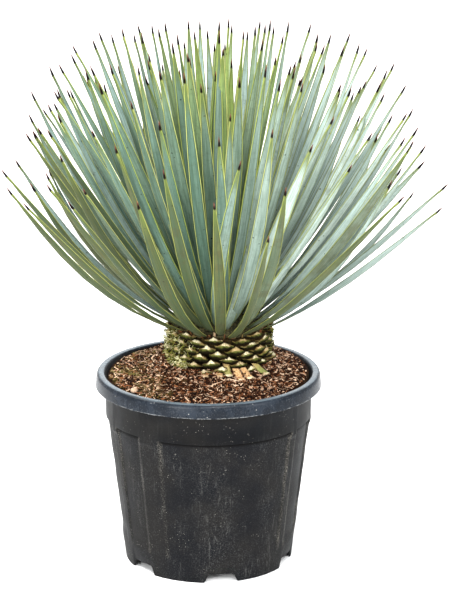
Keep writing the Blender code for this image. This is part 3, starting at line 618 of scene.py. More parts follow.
def bark_chips(count, seed, reach, length, width, thick, lift):
    """Chips of three rings of four corners: each ring is pushed aside a little, the ends are narrower."""
    rng = np.random.default_rng(seed)
    x, y = soil_places(count, rng, reach)
    yaw, pitch, roll = rng.uniform(0, 2 * np.pi, count), rng.normal(0, 0.30, count), rng.normal(0, 0.5, count)
    long = length * np.exp(rng.normal(0, 0.45, count))
    wide = np.minimum(width * np.exp(rng.normal(0, 0.35, count)), long)
    tall = thick * rng.uniform(0.6, 1.5, count)
    along = np.stack([np.cos(pitch) * np.cos(yaw), np.cos(pitch) * np.sin(yaw), np.sin(pitch)], -1)
    flat = np.stack([-np.sin(yaw), np.cos(yaw), 0 * yaw], -1)
    up = np.cross(along, flat)
    side = flat * np.cos(roll)[:, None] + up * np.sin(roll)[:, None]
    up = np.cross(along, side)
    height = soil_height(x, y) + lift * rng.uniform(0, 1, count)
    middle = np.stack([x, y, height + np.abs(np.sin(pitch)) * long * 0.2], -1)
    rings = []
    for step, share in (
            (-0.5, rng.uniform(0.25, 0.9, count)),
            (rng.uniform(-0.1, 0.1, count), np.ones(count)),
            (0.5, rng.uniform(0.2, 0.8, count))):
        bow = (0.08 * long * rng.normal(0, 1, count))[:, None] * side
        centre = middle + along * (np.asarray(step) * long)[:, None] + bow
        half = side * (wide * share / 2)[:, None]
        rise = up * (tall * (0.4 + 0.6 * share) / 2)[:, None]
        below = (centre - half - rise, centre + half - rise)
        above = (centre + half + rise, centre - half + rise)
        rings.append(np.stack([*below, *above], 1))
    return np.stack(rings, 1), (x, y)


def per_point(rings, numbers):
    """Repeats one number for each shape over all its points."""
    return np.repeat(numbers, rings.shape[1] * rings.shape[2])


# %% Chip finish
chip_finish, tree = new_finish("bark_chip")
tone = own_value(tree, "tone")
mossy = own_value(tree, "mossy")
dark = blend(tree, soft_step(tree, tone, 0.0, 0.6), (0.003, 0.0009, 0.0004), (0.026, 0.007, 0.0022))
brown = blend(tree, soft_step(tree, tone, 0.58, 0.78), dark, (0.27, 0.100, 0.040))
pale = blend(tree, soft_step(tree, tone, 0.80, 1.04), brown, (0.98, 0.70, 0.48))
splinter = noise(tree, on_object(tree), 700.0, 3.0, 0.7)
colour = blend(tree, mossy, pale, (0.20, 0.165, 0.050))
colour = blend(tree, soft_step(tree, splinter, 0.3, 0.7, 0.45, 0.0), colour, (0.02, 0.01, 0.006))
finish_shader(tree, colour, soft_step(tree, splinter, 0.3, 0.7, 0.90, 0.70), splinter, 0.5 * MM, 0.06)


# %% Make the chips
def moss_near(x, y, rng):
    """How green a chip is: more on the left, towards the moss on the trunk, and in patches."""
    left = np.clip((-x + 0.01) / 0.12, 0, 1)
    patch = 0.5 + 0.5 * value_noise(x, y, 14 * MM, 7)
    return np.clip(left * patch * 1.5 * rng.uniform(0, 1, len(x)) - 0.30, 0, 1)


for name, count, seed, reach, length, width, thick, lift, pale_share in (
        ("bark_crumbs", 8000, 21, 139.0 * MM, 2.7 * MM, 1.6 * MM, 1.2 * MM, 1.2 * MM, 0.20),
        ("bark_slivers", 3700, 22, 137 * MM, 5.0 * MM, 1.4 * MM, 1.0 * MM, 2.6 * MM, 0.45),
        ("bark_chunks", 420, 23, 134 * MM, 6.2 * MM, 3.0 * MM, 2.0 * MM, 0.9 * MM, 0.14)):
    rings, (x, y) = bark_chips(count, seed, reach, length, width, thick, lift)
    rng = np.random.default_rng(seed + 50)
    is_pale = rng.uniform(0, 1, count) < pale_share
    shade = np.where(is_pale, rng.uniform(0.70, 1.05, count), rng.uniform(0, 0.6, count))
    values = {"tone": per_point(rings, shade), "mossy": per_point(rings, moss_near(x, y, rng))}
    make_piece(name, loft(rings), chip_finish, values)


# %% [markdown]
# Between the chips run loose coir fibres and dry rootlets, thin as thread, curling over the
# surface. Each is a three-sided tube along a path that wanders at random but stays on the soil.


# %% Threads along paths
THREAD_SIDES = 3


def tubes(paths, thick):
    """Tubes of three sides round a batch of paths[shape, step], thinner at both ends."""
    count, steps, _ = paths.shape
    tangent = np.gradient(paths, axis=1)
    tangent = tangent / np.linalg.norm(tangent, axis=2, keepdims=True)
    side = np.cross(tangent, np.array((0.13, 0.07, 0.99)))
    side = side / np.linalg.norm(side, axis=2, keepdims=True)
    up = np.cross(side, tangent)
    turn = np.arange(THREAD_SIDES) * 2 * np.pi / THREAD_SIDES
    taper = 0.35 + 0.65 * np.sin(np.pi * np.linspace(0.08, 0.92, steps))
    radius = (np.reshape(thick, (-1, 1)) * taper / 2 + np.zeros((count, 1)))[..., None, None]
    ring = side[:, :, None] * np.cos(turn)[:, None] + up[:, :, None] * np.sin(turn)[:, None]
    return paths[:, :, None] + ring * radius


def wander(start, heading, length, turns, steps, rng):
    """Paths that leave start at a heading and turn a little at every step, level with the ground."""
    count = len(start)
    bend = np.cumsum(rng.normal(0, turns, (count, steps - 1)), axis=1)
    angle = heading[:, None] + bend
    hop = (length / (steps - 1))[:, None, None]
    moves = np.stack([np.cos(angle), np.sin(angle)], -1) * hop
    return start[:, None] + np.concatenate([np.zeros((count, 1, 2)), np.cumsum(moves, axis=1)], axis=1)


rng = np.random.default_rng(31)
FIBRE_COUNT = 620
FIBRE_STEPS = 7
FIBRE_REACH = 138 * MM
fibre_x, fibre_y = soil_places(FIBRE_COUNT, rng, 128 * MM)
fibre_length = rng.uniform(7, 24, FIBRE_COUNT) * MM
fibre_start = np.stack([fibre_x, fibre_y], -1)
fibre_heading = rng.uniform(0, 2 * np.pi, FIBRE_COUNT)
flat_paths = wander(fibre_start, fibre_heading, fibre_length, 0.33, FIBRE_STEPS, rng)
far = np.hypot(flat_paths[..., 0], flat_paths[..., 1])[..., None]
flat_paths = flat_paths * np.minimum(1, FIBRE_REACH / far)
fibre_z = soil_height(flat_paths[..., 0], flat_paths[..., 1])
fibre_z = fibre_z + (1.6 + 1.4 * np.abs(rng.normal(0, 1, (FIBRE_COUNT, FIBRE_STEPS)))) * MM
fibres = tubes(np.concatenate([flat_paths, fibre_z[..., None]], -1), rng.uniform(0.35, 0.8, FIBRE_COUNT) * MM)
fibre_values = {"tone": per_point(fibres, rng.uniform(0.55, 1.0, FIBRE_COUNT)),
                "mossy": per_point(fibres, moss_near(fibre_x, fibre_y, rng) * 0.6)}
make_piece("coir_fibres", loft(fibres), chip_finish, fibre_values)

# %% [markdown]
# ## The trunk
# The grower cut the dead leaves off close to the trunk. What is left is a spiral of low cream
# diamonds, each the cut through one leaf base, with its green underside below it and a dark
# gap round it. Leaf after leaf grew at the golden angle, 137.508 degrees, so the cuts follow
# the same rule and the crossing rows appear by themselves.

# %% Trunk sizes
GOLDEN_ANGLE = 137.508
LEAF_PHASE = 283.0
STUB_COUNT = 94
STUB_RISE = 0.57 * MM
STUB_TOP = 335.5 * MM
STUB_WIDTH = 24.5 * MM
TRUNK_CORE = 61 * MM


# %% The cut leaf bases
STUB_STEPS = 9
STUB_CORNERS = 8
STUB_ACROSS = np.linspace(-1, 1, STUB_STEPS)
STUB_OUT = np.array((57, 69, 75.2, 77.8, 77.9, 76.2, 73.6, 60)) * MM
STUB_UP = np.array((-11.0, -11.5, -9.2, -5.2, -2.0, -0.4, 2.3, 1.9)) * MM
WING_OUT = np.array((57, 68, 72.6, 73.8, 74.2, 73.8, 73.2, 60)) * MM
WING_UP = np.array((-8.0, -8.2, -7.2, -5.4, -3.7, -3.3, -3.1, -3.0)) * MM
STUB_CUT_CORNER = 4


def stub_rings(angle, height, width, lift, reach, rng):
    """Each stub is a loft across the leaf. Eight corners run from the root under the base, up the skin to
    the nose, over the cut and back. They shrink towards both wings: the cut by (1 - |a|) ^ 1.2, the skin
    by 1 - |a| ^ 2.2 and the corner between them by 1 - |a| ^ 1.5."""
    count = len(angle)
    skin = (1 - np.abs(STUB_ACROSS) ** 2.2)[:, None]
    cut = ((1 - np.abs(STUB_ACROSS)) ** 1.2)[:, None]
    share = np.where(np.arange(STUB_CORNERS) > STUB_CUT_CORNER, cut, skin)
    share[:, STUB_CUT_CORNER] = 1 - np.abs(STUB_ACROSS) ** 1.5
    out = WING_OUT + (STUB_OUT - WING_OUT) * share
    up = WING_UP + (STUB_UP - WING_UP) * share
    ragged = rng.normal(0, 0.95, (count, STUB_STEPS, STUB_CORNERS)) * MM
    past_root = (np.arange(STUB_CORNERS) > 0) & (np.arange(STUB_CORNERS) < STUB_CORNERS - 1)
    out = out[None] + ragged + (reach - rng.uniform(0, 1.6 * MM, count))[:, None, None] * past_root
    up = up[None] * rng.uniform(0.7, 1.15, (count, 1, 1)) + 0.7 * ragged[:, :, ::-1] + lift[:, None, None]
    slant = rng.normal(0, 1.0, (count, 1, 1)) * MM * STUB_ACROSS[None, :, None]
    side = STUB_ACROSS[None, :, None] * (width / 2)[:, None, None]
    side = side * np.array((1.12, 1.08, 1.04, 1, 1, 1, 1, 1.1))
    cos, sin = np.cos(angle)[:, None, None], np.sin(angle)[:, None, None]
    x = TRUNK_CENTRE[0] + out * cos - side * sin
    y = TRUNK_CENTRE[1] + out * sin + side * cos
    return np.stack([x, y, up + slant + height[:, None, None]], -1)


# %% Place the stubs
rng = np.random.default_rng(973)
stub = np.arange(STUB_COUNT)
down = stub / STUB_COUNT
stub_angle = np.radians(LEAF_PHASE - (stub + 1) * GOLDEN_ANGLE)
stub_height = STUB_TOP - stub * STUB_RISE
stub_width = STUB_WIDTH * (1 + 0.08 * rng.uniform(-1, 1, STUB_COUNT))
stub_lift = 3 * MM * (1 - down) - 1.8 * MM * down ** 2
stub_reach = 5 * MM * np.clip((down - 0.75) / 0.25, 0, 1)
stubs = stub_rings(stub_angle, stub_height, stub_width, stub_lift, stub_reach, rng)
corner = np.tile(np.arange(float(STUB_CORNERS)), (STUB_COUNT, STUB_STEPS, 1))
wing = np.tile(np.abs(STUB_ACROSS)[None, :, None], (STUB_COUNT, 1, STUB_CORNERS))
stub_age = per_point(stubs, rng.uniform(0, 1, STUB_COUNT))
stub_values = {"corner": corner.ravel(), "wing": wing.ravel(), "age": stub_age}
stub_across = STUB_ACROSS[None, :, None] * (stub_width / 2)[:, None, None] + 0 * corner
stub_number = 0.37 * stub[:, None, None] + 0 * corner
stub_values["fibre"] = np.stack([stub_across, stub_number, 0.0004 * corner], -1).reshape(-1, 3)

# %% [markdown]
# The cut shows pale flesh with fibres, cream at first and browner at its rim as it dries. Below the
# cut's front edge the skin is olive and yellow-green. The material reads which corner of the
# section it is on, counted from 0 at the root. Skin turns to cut just past corner 4, and the first
# corners, deep in the gap, are painted nearly black, a painted shade.

# %% Stub finish
stub_finish, tree = new_finish("trunk_cut_bases")
corner_of, wing_of, age = own_value(tree, "corner"), own_value(tree, "wing"), own_value(tree, "age")
place = on_object(tree)
fine = noise(tree, place, 900.0, 3.0, 0.7)
broad = noise(tree, place, 160.0, 3.0)
fibre = noise(tree, own_value(tree, "fibre", "Vector"), 480.0, 3.0, 0.65)
fresh = blend(tree, soft_step(tree, age, 0.3, 1.0), (0.78, 0.71, 0.48), (0.48, 0.35, 0.17))
fresh = blend(tree, soft_step(tree, fine, 0.42, 0.66, 0.0, 0.70), fresh, (0.22, 0.140, 0.045))
fresh = blend(tree, soft_step(tree, fibre, 0.48, 0.66, 0.0, 0.75), fresh, (0.17, 0.120, 0.036))
skin = blend(tree, soft_step(tree, broad, 0.35, 0.68), (0.018, 0.022, 0.004), (0.095, 0.100, 0.019))
skin = blend(tree, soft_step(tree, fine, 0.46, 0.70, 0.0, 0.85), skin, (0.016, 0.011, 0.003))
skin = blend(tree, soft_step(tree, fibre, 0.44, 0.60, 0.0, 0.85), skin, (0.010, 0.009, 0.002))
lip = times(tree, soft_step(tree, corner_of, 3.0, 3.9), soft_step(tree, wing_of, 0.2, 0.8, 0.50, 0.1))
skin = blend(tree, lip, skin, (0.16, 0.170, 0.038))
dried = soft_step(tree, plus(tree, wing_of, times(tree, broad, 0.5)), 0.45, 0.82, 0.0, 0.92)
ragged_edge = plus(tree, corner_of, times(tree, fine, 0.5))
cut_share = soft_step(tree, ragged_edge, 4.25, 4.75)
colour = blend(tree, cut_share, skin, blend(tree, dried, fresh, (0.115, 0.075, 0.017)))
colour = blend(tree, soft_step(tree, ragged_edge, 5.9, 6.3), colour, (0.020, 0.012, 0.004))
# Painted shade: the corners deep in the gap between stubs are darkened nearly to black
colour = blend(tree, soft_step(tree, ragged_edge, 2.9, 4.3, 1.0, 0.0), colour, (0.007, 0.005, 0.0015))
finish_shader(tree, colour, soft_step(tree, fine, 0.3, 0.7, 0.85, 0.65), fine, 1.0 * MM, 0.05)
make_piece("trunk_stubs", loft(stubs), stub_finish, stub_values)


# %% [markdown]
# Behind the cut bases is the woody core with dry, papery scraps. It is nearly black in the
# gaps, so a turned, rough cylinder with a brown finish is enough.


# %% The core
CORE_FOOT = 246 * MM
CORE_TOP = 331.5 * MM


def core_surface():
    """A turned column, roughened by noise, from inside the soil up to the lowest leaves."""
    turn = np.linspace(0, 2 * np.pi, 97)[None, :-1]
    heights = np.concatenate([[CORE_FOOT, 262 * MM], np.linspace(275, 331, 18) * MM])[:, None]
    radius = TRUNK_CORE + 6 * MM * np.clip((heights - 300 * MM) / (26 * MM), 0, 1)
    radius = np.where(heights < 270 * MM, 59 * MM, radius) + 0 * turn
    bark = value_noise(turn * 0.06 + 0 * heights, heights + 0 * turn, 3 * MM, 12)
    radius = radius + 1.6 * MM * bark * (heights > 270 * MM)
    x, y = TRUNK_CENTRE[0] + radius * np.cos(turn), TRUNK_CENTRE[1] + radius * np.sin(turn)
    rings = np.stack([x, y, heights + 0 * turn], -1)[::-1]
    return lathe(rings, (*TRUNK_CENTRE, CORE_TOP), (*TRUNK_CENTRE, CORE_FOOT))


core_finish, tree = new_finish("woody_core")
fine = noise(tree, on_object(tree), 600.0, 4.0, 0.7)
colour = blend(tree, soft_step(tree, fine, 0.35, 0.75), (0.004, 0.0025, 0.001), (0.055, 0.034, 0.010))
finish_shader(tree, colour, soft_step(tree, fine, 0.3, 0.7, 0.95, 0.80), fine, 1.0 * MM, 0.05)
make_piece("trunk_core", core_surface(), core_finish, replaced=["trunk"])

# %% [markdown]
# ## Dry leaf ends
# At the trunk's front foot six old leaf bases were left longer. They lie on the soil, tan or brown
# and split along their fibres, with a pale frayed end. Two are still green. Each is a strip whose
# section is a low arch, carried along a line that falls from the trunk to the soil.


# %% Strips that fall to the soil
DRY_ROOT = 56
DRY_ARCH = 3.2
DRY_STEPS = 9
DRY_CORNERS = 6
DRY_ENDS = np.array((
    # degrees round the trunk, reach, width, height of the root in mm, green share, tan share
    (-72.0, 98, 13, 297, 0.0, 1.0),
    (-63.0, 96, 12, 296, 0.0, 0.95),
    (-46.0, 96, 14, 300, 0.85, 0.9),
    (-82.0, 86, 13, 299, 0.75, 1.0),
    (-90.5, 89, 12, 290, 0.0, 0.60),
    (-103.0, 88, 13, 289, 0.1, 0.30)))


def dry_ends():
    """Rings of six corners along each strip: low arch in section, fanning out and drooping to the soil."""
    made = []
    for degrees, reach, width, root in DRY_ENDS[:, :4]:
        angle = np.radians(degrees)
        s = np.linspace(0, 1, DRY_STEPS)[:, None]
        ragged = np.array((-1.6, 0.6, 1.5, -0.9, 0.2, -0.8)) * s ** 8
        out = (DRY_ROOT + (reach - DRY_ROOT) * s + ragged) * MM
        half = width / 2 * MM * (0.8 - 0.1 * s + 0.35 * s ** 3)
        across = np.array((-1, -0.55, 0.55, 1, 0.5, -0.5)) * half
        up = np.array((0.30, 0.0, 0.0, 0.30, 1.0, 0.92)) * DRY_ARCH * MM * (1 - 0.35 * s)
        x = TRUNK_CENTRE[0] + out * np.cos(angle) - across * np.sin(angle)
        y = TRUNK_CENTRE[1] + out * np.sin(angle) + across * np.cos(angle)
        end_place = TRUNK_CENTRE + reach * MM * np.array((np.cos(angle), np.sin(angle)))
        end = soil_height(*end_place) + 1.4 * MM
        fall = root * MM + (end - root * MM) * (1 - (1 - s) ** 1.5)
        made.append(np.stack([x, y, fall + up], -1))
    return np.stack(made)


dry_rings = dry_ends()
dry_along = np.tile(np.linspace(0, 1, DRY_STEPS)[None, :, None], (len(DRY_ENDS), 1, DRY_CORNERS)).ravel()
dry_green, dry_tan = (per_point(dry_rings, DRY_ENDS[:, k]) for k in (4, 5))
dry_values = {"along": dry_along, "green": dry_green, "tan": dry_tan}
dry_finish, tree = new_finish("dry_leaf_end")
along, green, tan_share = own_value(tree, "along"), own_value(tree, "green"), own_value(tree, "tan")
threads = noise(tree, on_object(tree, (1.0, 0.3, 1.0)), 900.0, 3.0, 0.7)
tan = blend(tree, soft_step(tree, threads, 0.35, 0.65), (0.80, 0.52, 0.27), (0.34, 0.170, 0.055))
tan = blend(tree, tan_share, (0.16, 0.085, 0.040), tan)
tan = blend(tree, times(tree, green, soft_step(tree, along, 0.0, 0.80)), tan, (0.15, 0.20, 0.05))
frayed = times(tree, tan_share, soft_step(tree, along, 0.90, 0.96, 0.0, 0.7))
colour = blend(tree, frayed, tan, (0.82, 0.68, 0.47))
finish_shader(tree, colour, soft_step(tree, threads, 0.3, 0.7, 0.80, 0.60), threads, 0.6 * MM, 0.08)
make_piece("dry_leaf_ends", loft(dry_rings), dry_finish, dry_values)

# %% [markdown]
# ## Moss
# A clump of yellow-green moss and old root fibre hangs on the trunk's left side, down to the
# soil, with a little more on the right. It is some 1500 short curled threads. Each starts on the
# trunk and bends outwards and down, so the clump has a soft, crumbly edge.


# %% Moss threads
MOSS_STEPS = 5


def moss_threads(count, seed, turn_middle, turn_spread, z_low, z_high, grow, droop):
    """Curled paths that leave the trunk's side outwards, wander, and sink by droop at each step."""
    rng = np.random.default_rng(seed)
    turn = np.radians(turn_middle + turn_spread * rng.uniform(-1, 1, count))
    z = rng.uniform(z_low, z_high, count)
    out = (66 + 9 * rng.uniform(0, 1, count)) * MM
    start = np.stack([TRUNK_CENTRE[0] + out * np.cos(turn), TRUNK_CENTRE[1] + out * np.sin(turn), z], -1)
    outward = np.stack([np.cos(turn), np.sin(turn), 0 * turn], -1)
    heading = outward * 0.5 + rng.normal(0, 0.6, (count, 3))
    path = [start]
    for _ in range(MOSS_STEPS - 1):
        heading = heading + rng.normal(0, 0.5, (count, 3)) - np.array((0, 0, droop))
        heading = heading / np.linalg.norm(heading, axis=1, keepdims=True)
        path.append(path[-1] + heading * (grow * rng.uniform(0.3, 1.2, count) / (MOSS_STEPS - 1))[:, None])
    path = np.stack(path, 1)
    ground = soil_height(path[..., 0], path[..., 1]) + 0.8 * MM
    path[..., 2] = np.maximum(path[..., 2], ground)
    return path, rng


moss_finish, tree = new_finish("trunk_moss")
tone = own_value(tree, "tone")
fine = noise(tree, on_object(tree), 500.0, 2.0)
mossy = blend(tree, soft_step(tree, tone, 0.0, 0.5), (0.012, 0.013, 0.002), (0.22, 0.225, 0.040))
mossy = blend(tree, soft_step(tree, tone, 0.5, 1.0), mossy, (0.86, 0.82, 0.50))
colour = blend(tree, soft_step(tree, fine, 0.4, 0.7, 0.0, 0.4), mossy, (0.12, 0.075, 0.022))
finish_shader(tree, colour, soft_step(tree, fine, 0.3, 0.7, 0.95, 0.80), specular=0.05)
for name, count, seed, middle, spread, low, high, grow, droop, thick, palest in (
        ("moss_left", 420, 61, 190.0, 34.0, 286 * MM, 334 * MM, 10 * MM, 0.05, 1.8 * MM, 0.8),
        ("moss_veil", 260, 65, 204.0, 36.0, 294 * MM, 335 * MM, 17 * MM, 0.20, 1.2 * MM, 1.0),
        ("moss_clump_left", 300, 62, 209.0, 7.5, 284 * MM, 296 * MM, 10 * MM, 0.05, 1.8 * MM, 1.25),
        ("moss_clump_front", 300, 64, 224.0, 6.5, 284 * MM, 299 * MM, 10 * MM, 0.05, 1.8 * MM, 1.2),
        ("moss_right", 200, 63, 352.0, 14.0, 305 * MM, 334 * MM, 9 * MM, 0.05, 1.4 * MM, 0.9)):
    paths, rng = moss_threads(count, seed, middle, spread, low, high, grow, droop)
    rings = tubes(paths, thick * rng.uniform(0.4, 1.0, count))
    make_piece(name, loft(rings), moss_finish,
               {"tone": per_point(rings, palest * rng.uniform(0, 1, count))})

# %% [markdown]
# ## The leaves grow by a rule
# Leaf k stands at the golden angle after leaf k-1. The oldest are the outermost: they start at
# the edge of the crown, lean far out and curl up, and towards the middle each leaf is steeper and
# straighter. Small random turns keep the head from looking like a machine's work. The rule and its
# numbers are those of the solid leaves, so the fine leaves lie on the coarse ones. Only near the
# tip they taper a little sooner.

# %% Leaf sizes
LEAF_COUNT = 172
CROWN_Z = 334 * MM
CROWN_RADIUS = 67 * MM
CROWN_DOME = 54 * MM
LEAF_WIDTH = 17.5 * MM
LEAF_THICK = 2.6 * MM
LEAF_LENGTH = ((0.0, 357), (0.15, 378), (0.3, 397), (0.45, 406), (0.6, 413), (0.8, 399), (1.0, 377))
LENGTH_DRAW, ASIDE_DRAW, CURL_DRAW, LIFT_DRAW, ROLL_DRAW, WIDTH_DRAW = 0.05, 3.5, 4.0, 3.0, 18.0, 0.08
CHORD_OUTER = 42.0
CHORD_INNER = 89.0
BEND_OUTER = 34.0
LEAN_RIGHT = 5.0
STRAIGHT_RIGHT = 0.6
FACE_LIMIT = 58.0
FACE_LEAN = 18.0
TWIST_END = 0.4

# %% [markdown]
# Some tips were measured against the pot, in millimetres right of its axis and above the floor, as
# they are seen from the camera: first the outline of the head, then tips in front of other leaves.

# %% Measured tips
EYE = np.array(CAMERA_PLACE)
OUTLINE_TIPS = (
    (-289, 561), (-282, 535), (-269, 575), (-254, 613), (-249, 640), (-245, 672), (-219, 707),
    (-206, 710), (-189, 724), (-187, 737), (-159, 745), (-150, 755), (-133, 752), (-118, 760),
    (-102, 753), (-97, 766), (-77, 766), (-68, 759), (-59, 769), (-42, 752), (-27, 771), (-19, 756),
    (-11, 770), (-1, 758), (9, 739), (16, 769), (28, 773), (33, 765), (49, 756), (55, 756),
    (65, 763), (72, 771), (79, 765), (86, 771), (91, 763), (94, 721), (104, 751), (111, 769),
    (122, 714), (142, 766), (152, 753), (170, 752), (174, 702), (188, 735), (196, 753), (209, 739),
    (220, 732), (234, 709), (258, 712), (248, 702), (245, 669), (275, 681), (285, 647), (277, 641),
    (293, 621), (304, 595), (303, 572), (336, 539), (329, 505))
FRONT_TIPS = (
    (-224, 618), (-209, 639), (-226, 539), (-207, 582), (-197, 515), (-175, 532), (-162, 617),
    (-130, 595), (-107, 657), (-100, 515), (-68, 629), (-63, 560), (-67, 700), (-10, 681), (8, 512),
    (15, 606), (46, 572), (31, 639), (44, 690), (85, 463), (90, 617), (109, 534), (131, 682),
    (146, 595), (175, 635), (201, 567), (229, 613), (257, 544))

HEAD_MIDDLE = np.array((16 * MM, 360 * MM))
FREE_REACH_LOW = 0.84
FREE_REACH_SPAN = 0.13
FREE_REACH_STEP = 0.7549


def reach_tips(path):
    """Eases the nearest free leaf onto the sight line of each measured tip. A leaf that no tip claims ends
    a little inside the outline; one that leans to the viewer is raised, at its own length, until it
    reaches as far."""
    plane = TRUNK_CENTRE[1]
    tips = path[:, -1].copy()
    sight = tips - EYE
    seen = EYE + sight * ((plane - EYE[1]) / sight[:, 1])[:, None]
    ease = (np.linspace(0, 1, path.shape[1]) ** 1.6)[:, None]
    free = np.ones(len(path), bool)
    out = path.copy()
    for goals, usable in ((FRONT_TIPS, tips[:, 1] < plane), (OUTLINE_TIPS, np.ones(len(path), bool))):
        for right, up in goals:
            goal = np.array((right * MM, plane, up * MM))
            k = int(np.argmin(np.linalg.norm(seen - goal, axis=1) + np.where(free & usable, 0, 9)))
            free[k] = False
            line = (goal - EYE) / np.linalg.norm(goal - EYE)
            out[k] += (EYE + line * np.dot(tips[k] - EYE, line) - tips[k]) * ease
    outline = np.array(OUTLINE_TIPS) * MM - HEAD_MIDDLE
    outline_turn = np.arctan2(outline[:, 1], outline[:, 0])
    order = np.argsort(outline_turn)
    for k in np.flatnonzero(free):
        away = np.array((seen[k, 0], seen[k, 2])) - HEAD_MIDDLE
        reach = np.interp(np.arctan2(away[1], away[0]), outline_turn[order], np.hypot(*outline[order].T))
        limit = reach * (FREE_REACH_LOW + FREE_REACH_SPAN * (k * FREE_REACH_STEP % 1))
        stretch = limit / np.hypot(*away)
        raised = tips[k, 1] < plane and stretch > 1
        if raised or stretch < 1:
            away = away * stretch
        line = np.array((HEAD_MIDDLE[0] + away[0], plane, HEAD_MIDDLE[1] + away[1])) - EYE
        line = line / np.linalg.norm(line)
        along = np.dot(tips[k] - EYE, line)
        if raised:
            root = path[k, 0] - EYE
            chord = np.linalg.norm(tips[k] - path[k, 0])
            closest = np.dot(root, line)
            along = closest - np.sqrt(max(0.0, closest ** 2 - np.dot(root, root) + chord ** 2))
        out[k] += (EYE + line * along - tips[k]) * ease
    return out


# %% The turn of the blade
def broad_side(path, side, under, draw, around):
    """Degrees of turn about each leaf's own line. Seen from the eye, the underside is turned away by the
    angle whose tangent is its share across over its share towards. To that comes the leaf's own draw, and
    the sum is held within FACE_LIMIT of showing the underside or the upper face squarely."""
    middle = path.shape[1] * 3 // 5
    sight = EYE - path[:, middle]
    away = np.degrees(np.arctan2((sight * side[:, middle]).sum(1), (sight * under[:, middle]).sum(1)))
    drawn = (away + draw + 180) % 360 - 180
    shows_under = np.abs(drawn) < 90 - FACE_LEAN * np.cos(around)
    most, least = np.minimum(np.abs(drawn), FACE_LIMIT), np.maximum(np.abs(drawn), 180 - FACE_LIMIT)
    size = np.where(shows_under, most, least)
    return (size * np.sign(drawn) - away + 180) % 360 - 180


# %% Leaf centre lines
def leaf_width(s):
    """Share of the full width: narrow at the root, full at 45 %, then tapering to the spine."""
    neck = 0.42 * np.sin(np.pi / 2 * np.minimum(s / 0.07, 1))
    swell = 0.42 + neck + 0.16 * np.sin(np.pi / 2 * np.minimum(s / 0.45, 1))
    return swell * (1 - 0.93 * (np.maximum(s - 0.55, 0) / 0.45) ** 1.6)


def leaf_paths(stations):
    """Centre lines, side directions, outer-face directions and widths of all leaves, the outermost first."""
    rng = np.random.default_rng(972)
    u = (np.arange(LEAF_COUNT) + 0.5) / LEAF_COUNT
    draws = rng.standard_normal((LEAF_COUNT, 6)).clip(-2, 2)
    around = np.radians(LEAF_PHASE + np.arange(LEAF_COUNT) * GOLDEN_ANGLE)
    lean = np.clip(1 - u / 0.2, 0, 1) * np.clip(np.cos(around + 0.1), 0, 1)
    chord_cos = 1 - (1 - u) * (1 - np.cos(np.radians(90 - CHORD_OUTER)))
    chord = np.minimum(90 - np.degrees(np.arccos(chord_cos)), CHORD_INNER) - LEAN_RIGHT * lean
    bend = BEND_OUTER * (1 - u) ** 1.2 * (1 - STRAIGHT_RIGHT * lean)
    knots, lengths = zip(*LEAF_LENGTH)
    length = np.interp(u, knots, lengths) * MM * (1 - LENGTH_DRAW * np.abs(draws[:, 3]))
    s = np.linspace(0, 1, stations)
    late = s * s * (3 - 2 * s)
    curve = bend[:, None] * (1 - (1 - s) ** 2 - 2 / 3)
    up = np.radians(chord[:, None] + curve + LIFT_DRAW * draws[:, 1:2] * late)
    aside = ASIDE_DRAW * draws[:, 0:1] * late + CURL_DRAW * draws[:, 4:5] * s ** 2
    heading = around[:, None] + np.radians(aside)
    tangent = np.stack([np.cos(up) * np.cos(heading), np.cos(up) * np.sin(heading), np.sin(up)], -1)
    steps = (tangent[:, 1:] + tangent[:, :-1]) / 2 * length[:, None, None] / (stations - 1)
    crown = CROWN_RADIUS * np.sqrt(1 - u)
    base = np.stack([TRUNK_CENTRE[0] + crown * np.cos(around), TRUNK_CENTRE[1] + crown * np.sin(around),
                     CROWN_Z + CROWN_DOME * u], -1)
    path = base[:, None] + np.concatenate([np.zeros((LEAF_COUNT, 1, 3)), np.cumsum(steps, axis=1)], axis=1)
    path = reach_tips(path)
    side = np.stack([-np.sin(heading), np.cos(heading), np.zeros_like(heading)], -1)
    under = np.cross(side, tangent)
    turn = broad_side(path, side, under, ROLL_DRAW * draws[:, 2], around)
    early = np.minimum(s / TWIST_END, 1)
    roll = (np.radians(turn)[:, None] * early * early * (3 - 2 * early))[..., None]
    side = side * np.cos(roll) + under * np.sin(roll)
    under = np.cross(side, tangent)
    return path, side, under, LEAF_WIDTH * (1 + WIDTH_DRAW * draws[:, 5:6]) * leaf_width(s)


# %% [markdown]
# ## The leaf's section
# A yucca leaf is a stiff blade: slightly hollow on its upper face, rounded underneath, thinnest at
# its horny yellow margins, and drawn out into a dark spine. Six corners give the section, and
# thirteen sections follow the leaf, closer together near the root and the tip. The leaf carries
# the distance from its margin and from its tip as values, which the material reads.

# %% Fine leaves
PATH_STATIONS = 51
LEAF_PICKS = np.array((0, 2, 5, 10, 16, 23, 30, 37, 43, 46, 48, 49, 50))
SECTION_ACROSS = np.array((-1.0, -0.42, 0.42, 1.0, 0.50, -0.50))
SECTION_DEPTH = np.array((0.0, 0.30, 0.30, 0.0, 0.86, 0.86))
SECTION_FACE = np.array((0.5, 1.0, 1.0, 0.5, 0.0, 0.0))
SPINE_LENGTH = 15 * MM
SPINE_WIDTH = 3.5 * MM
ROOT_SET_BACK = 6


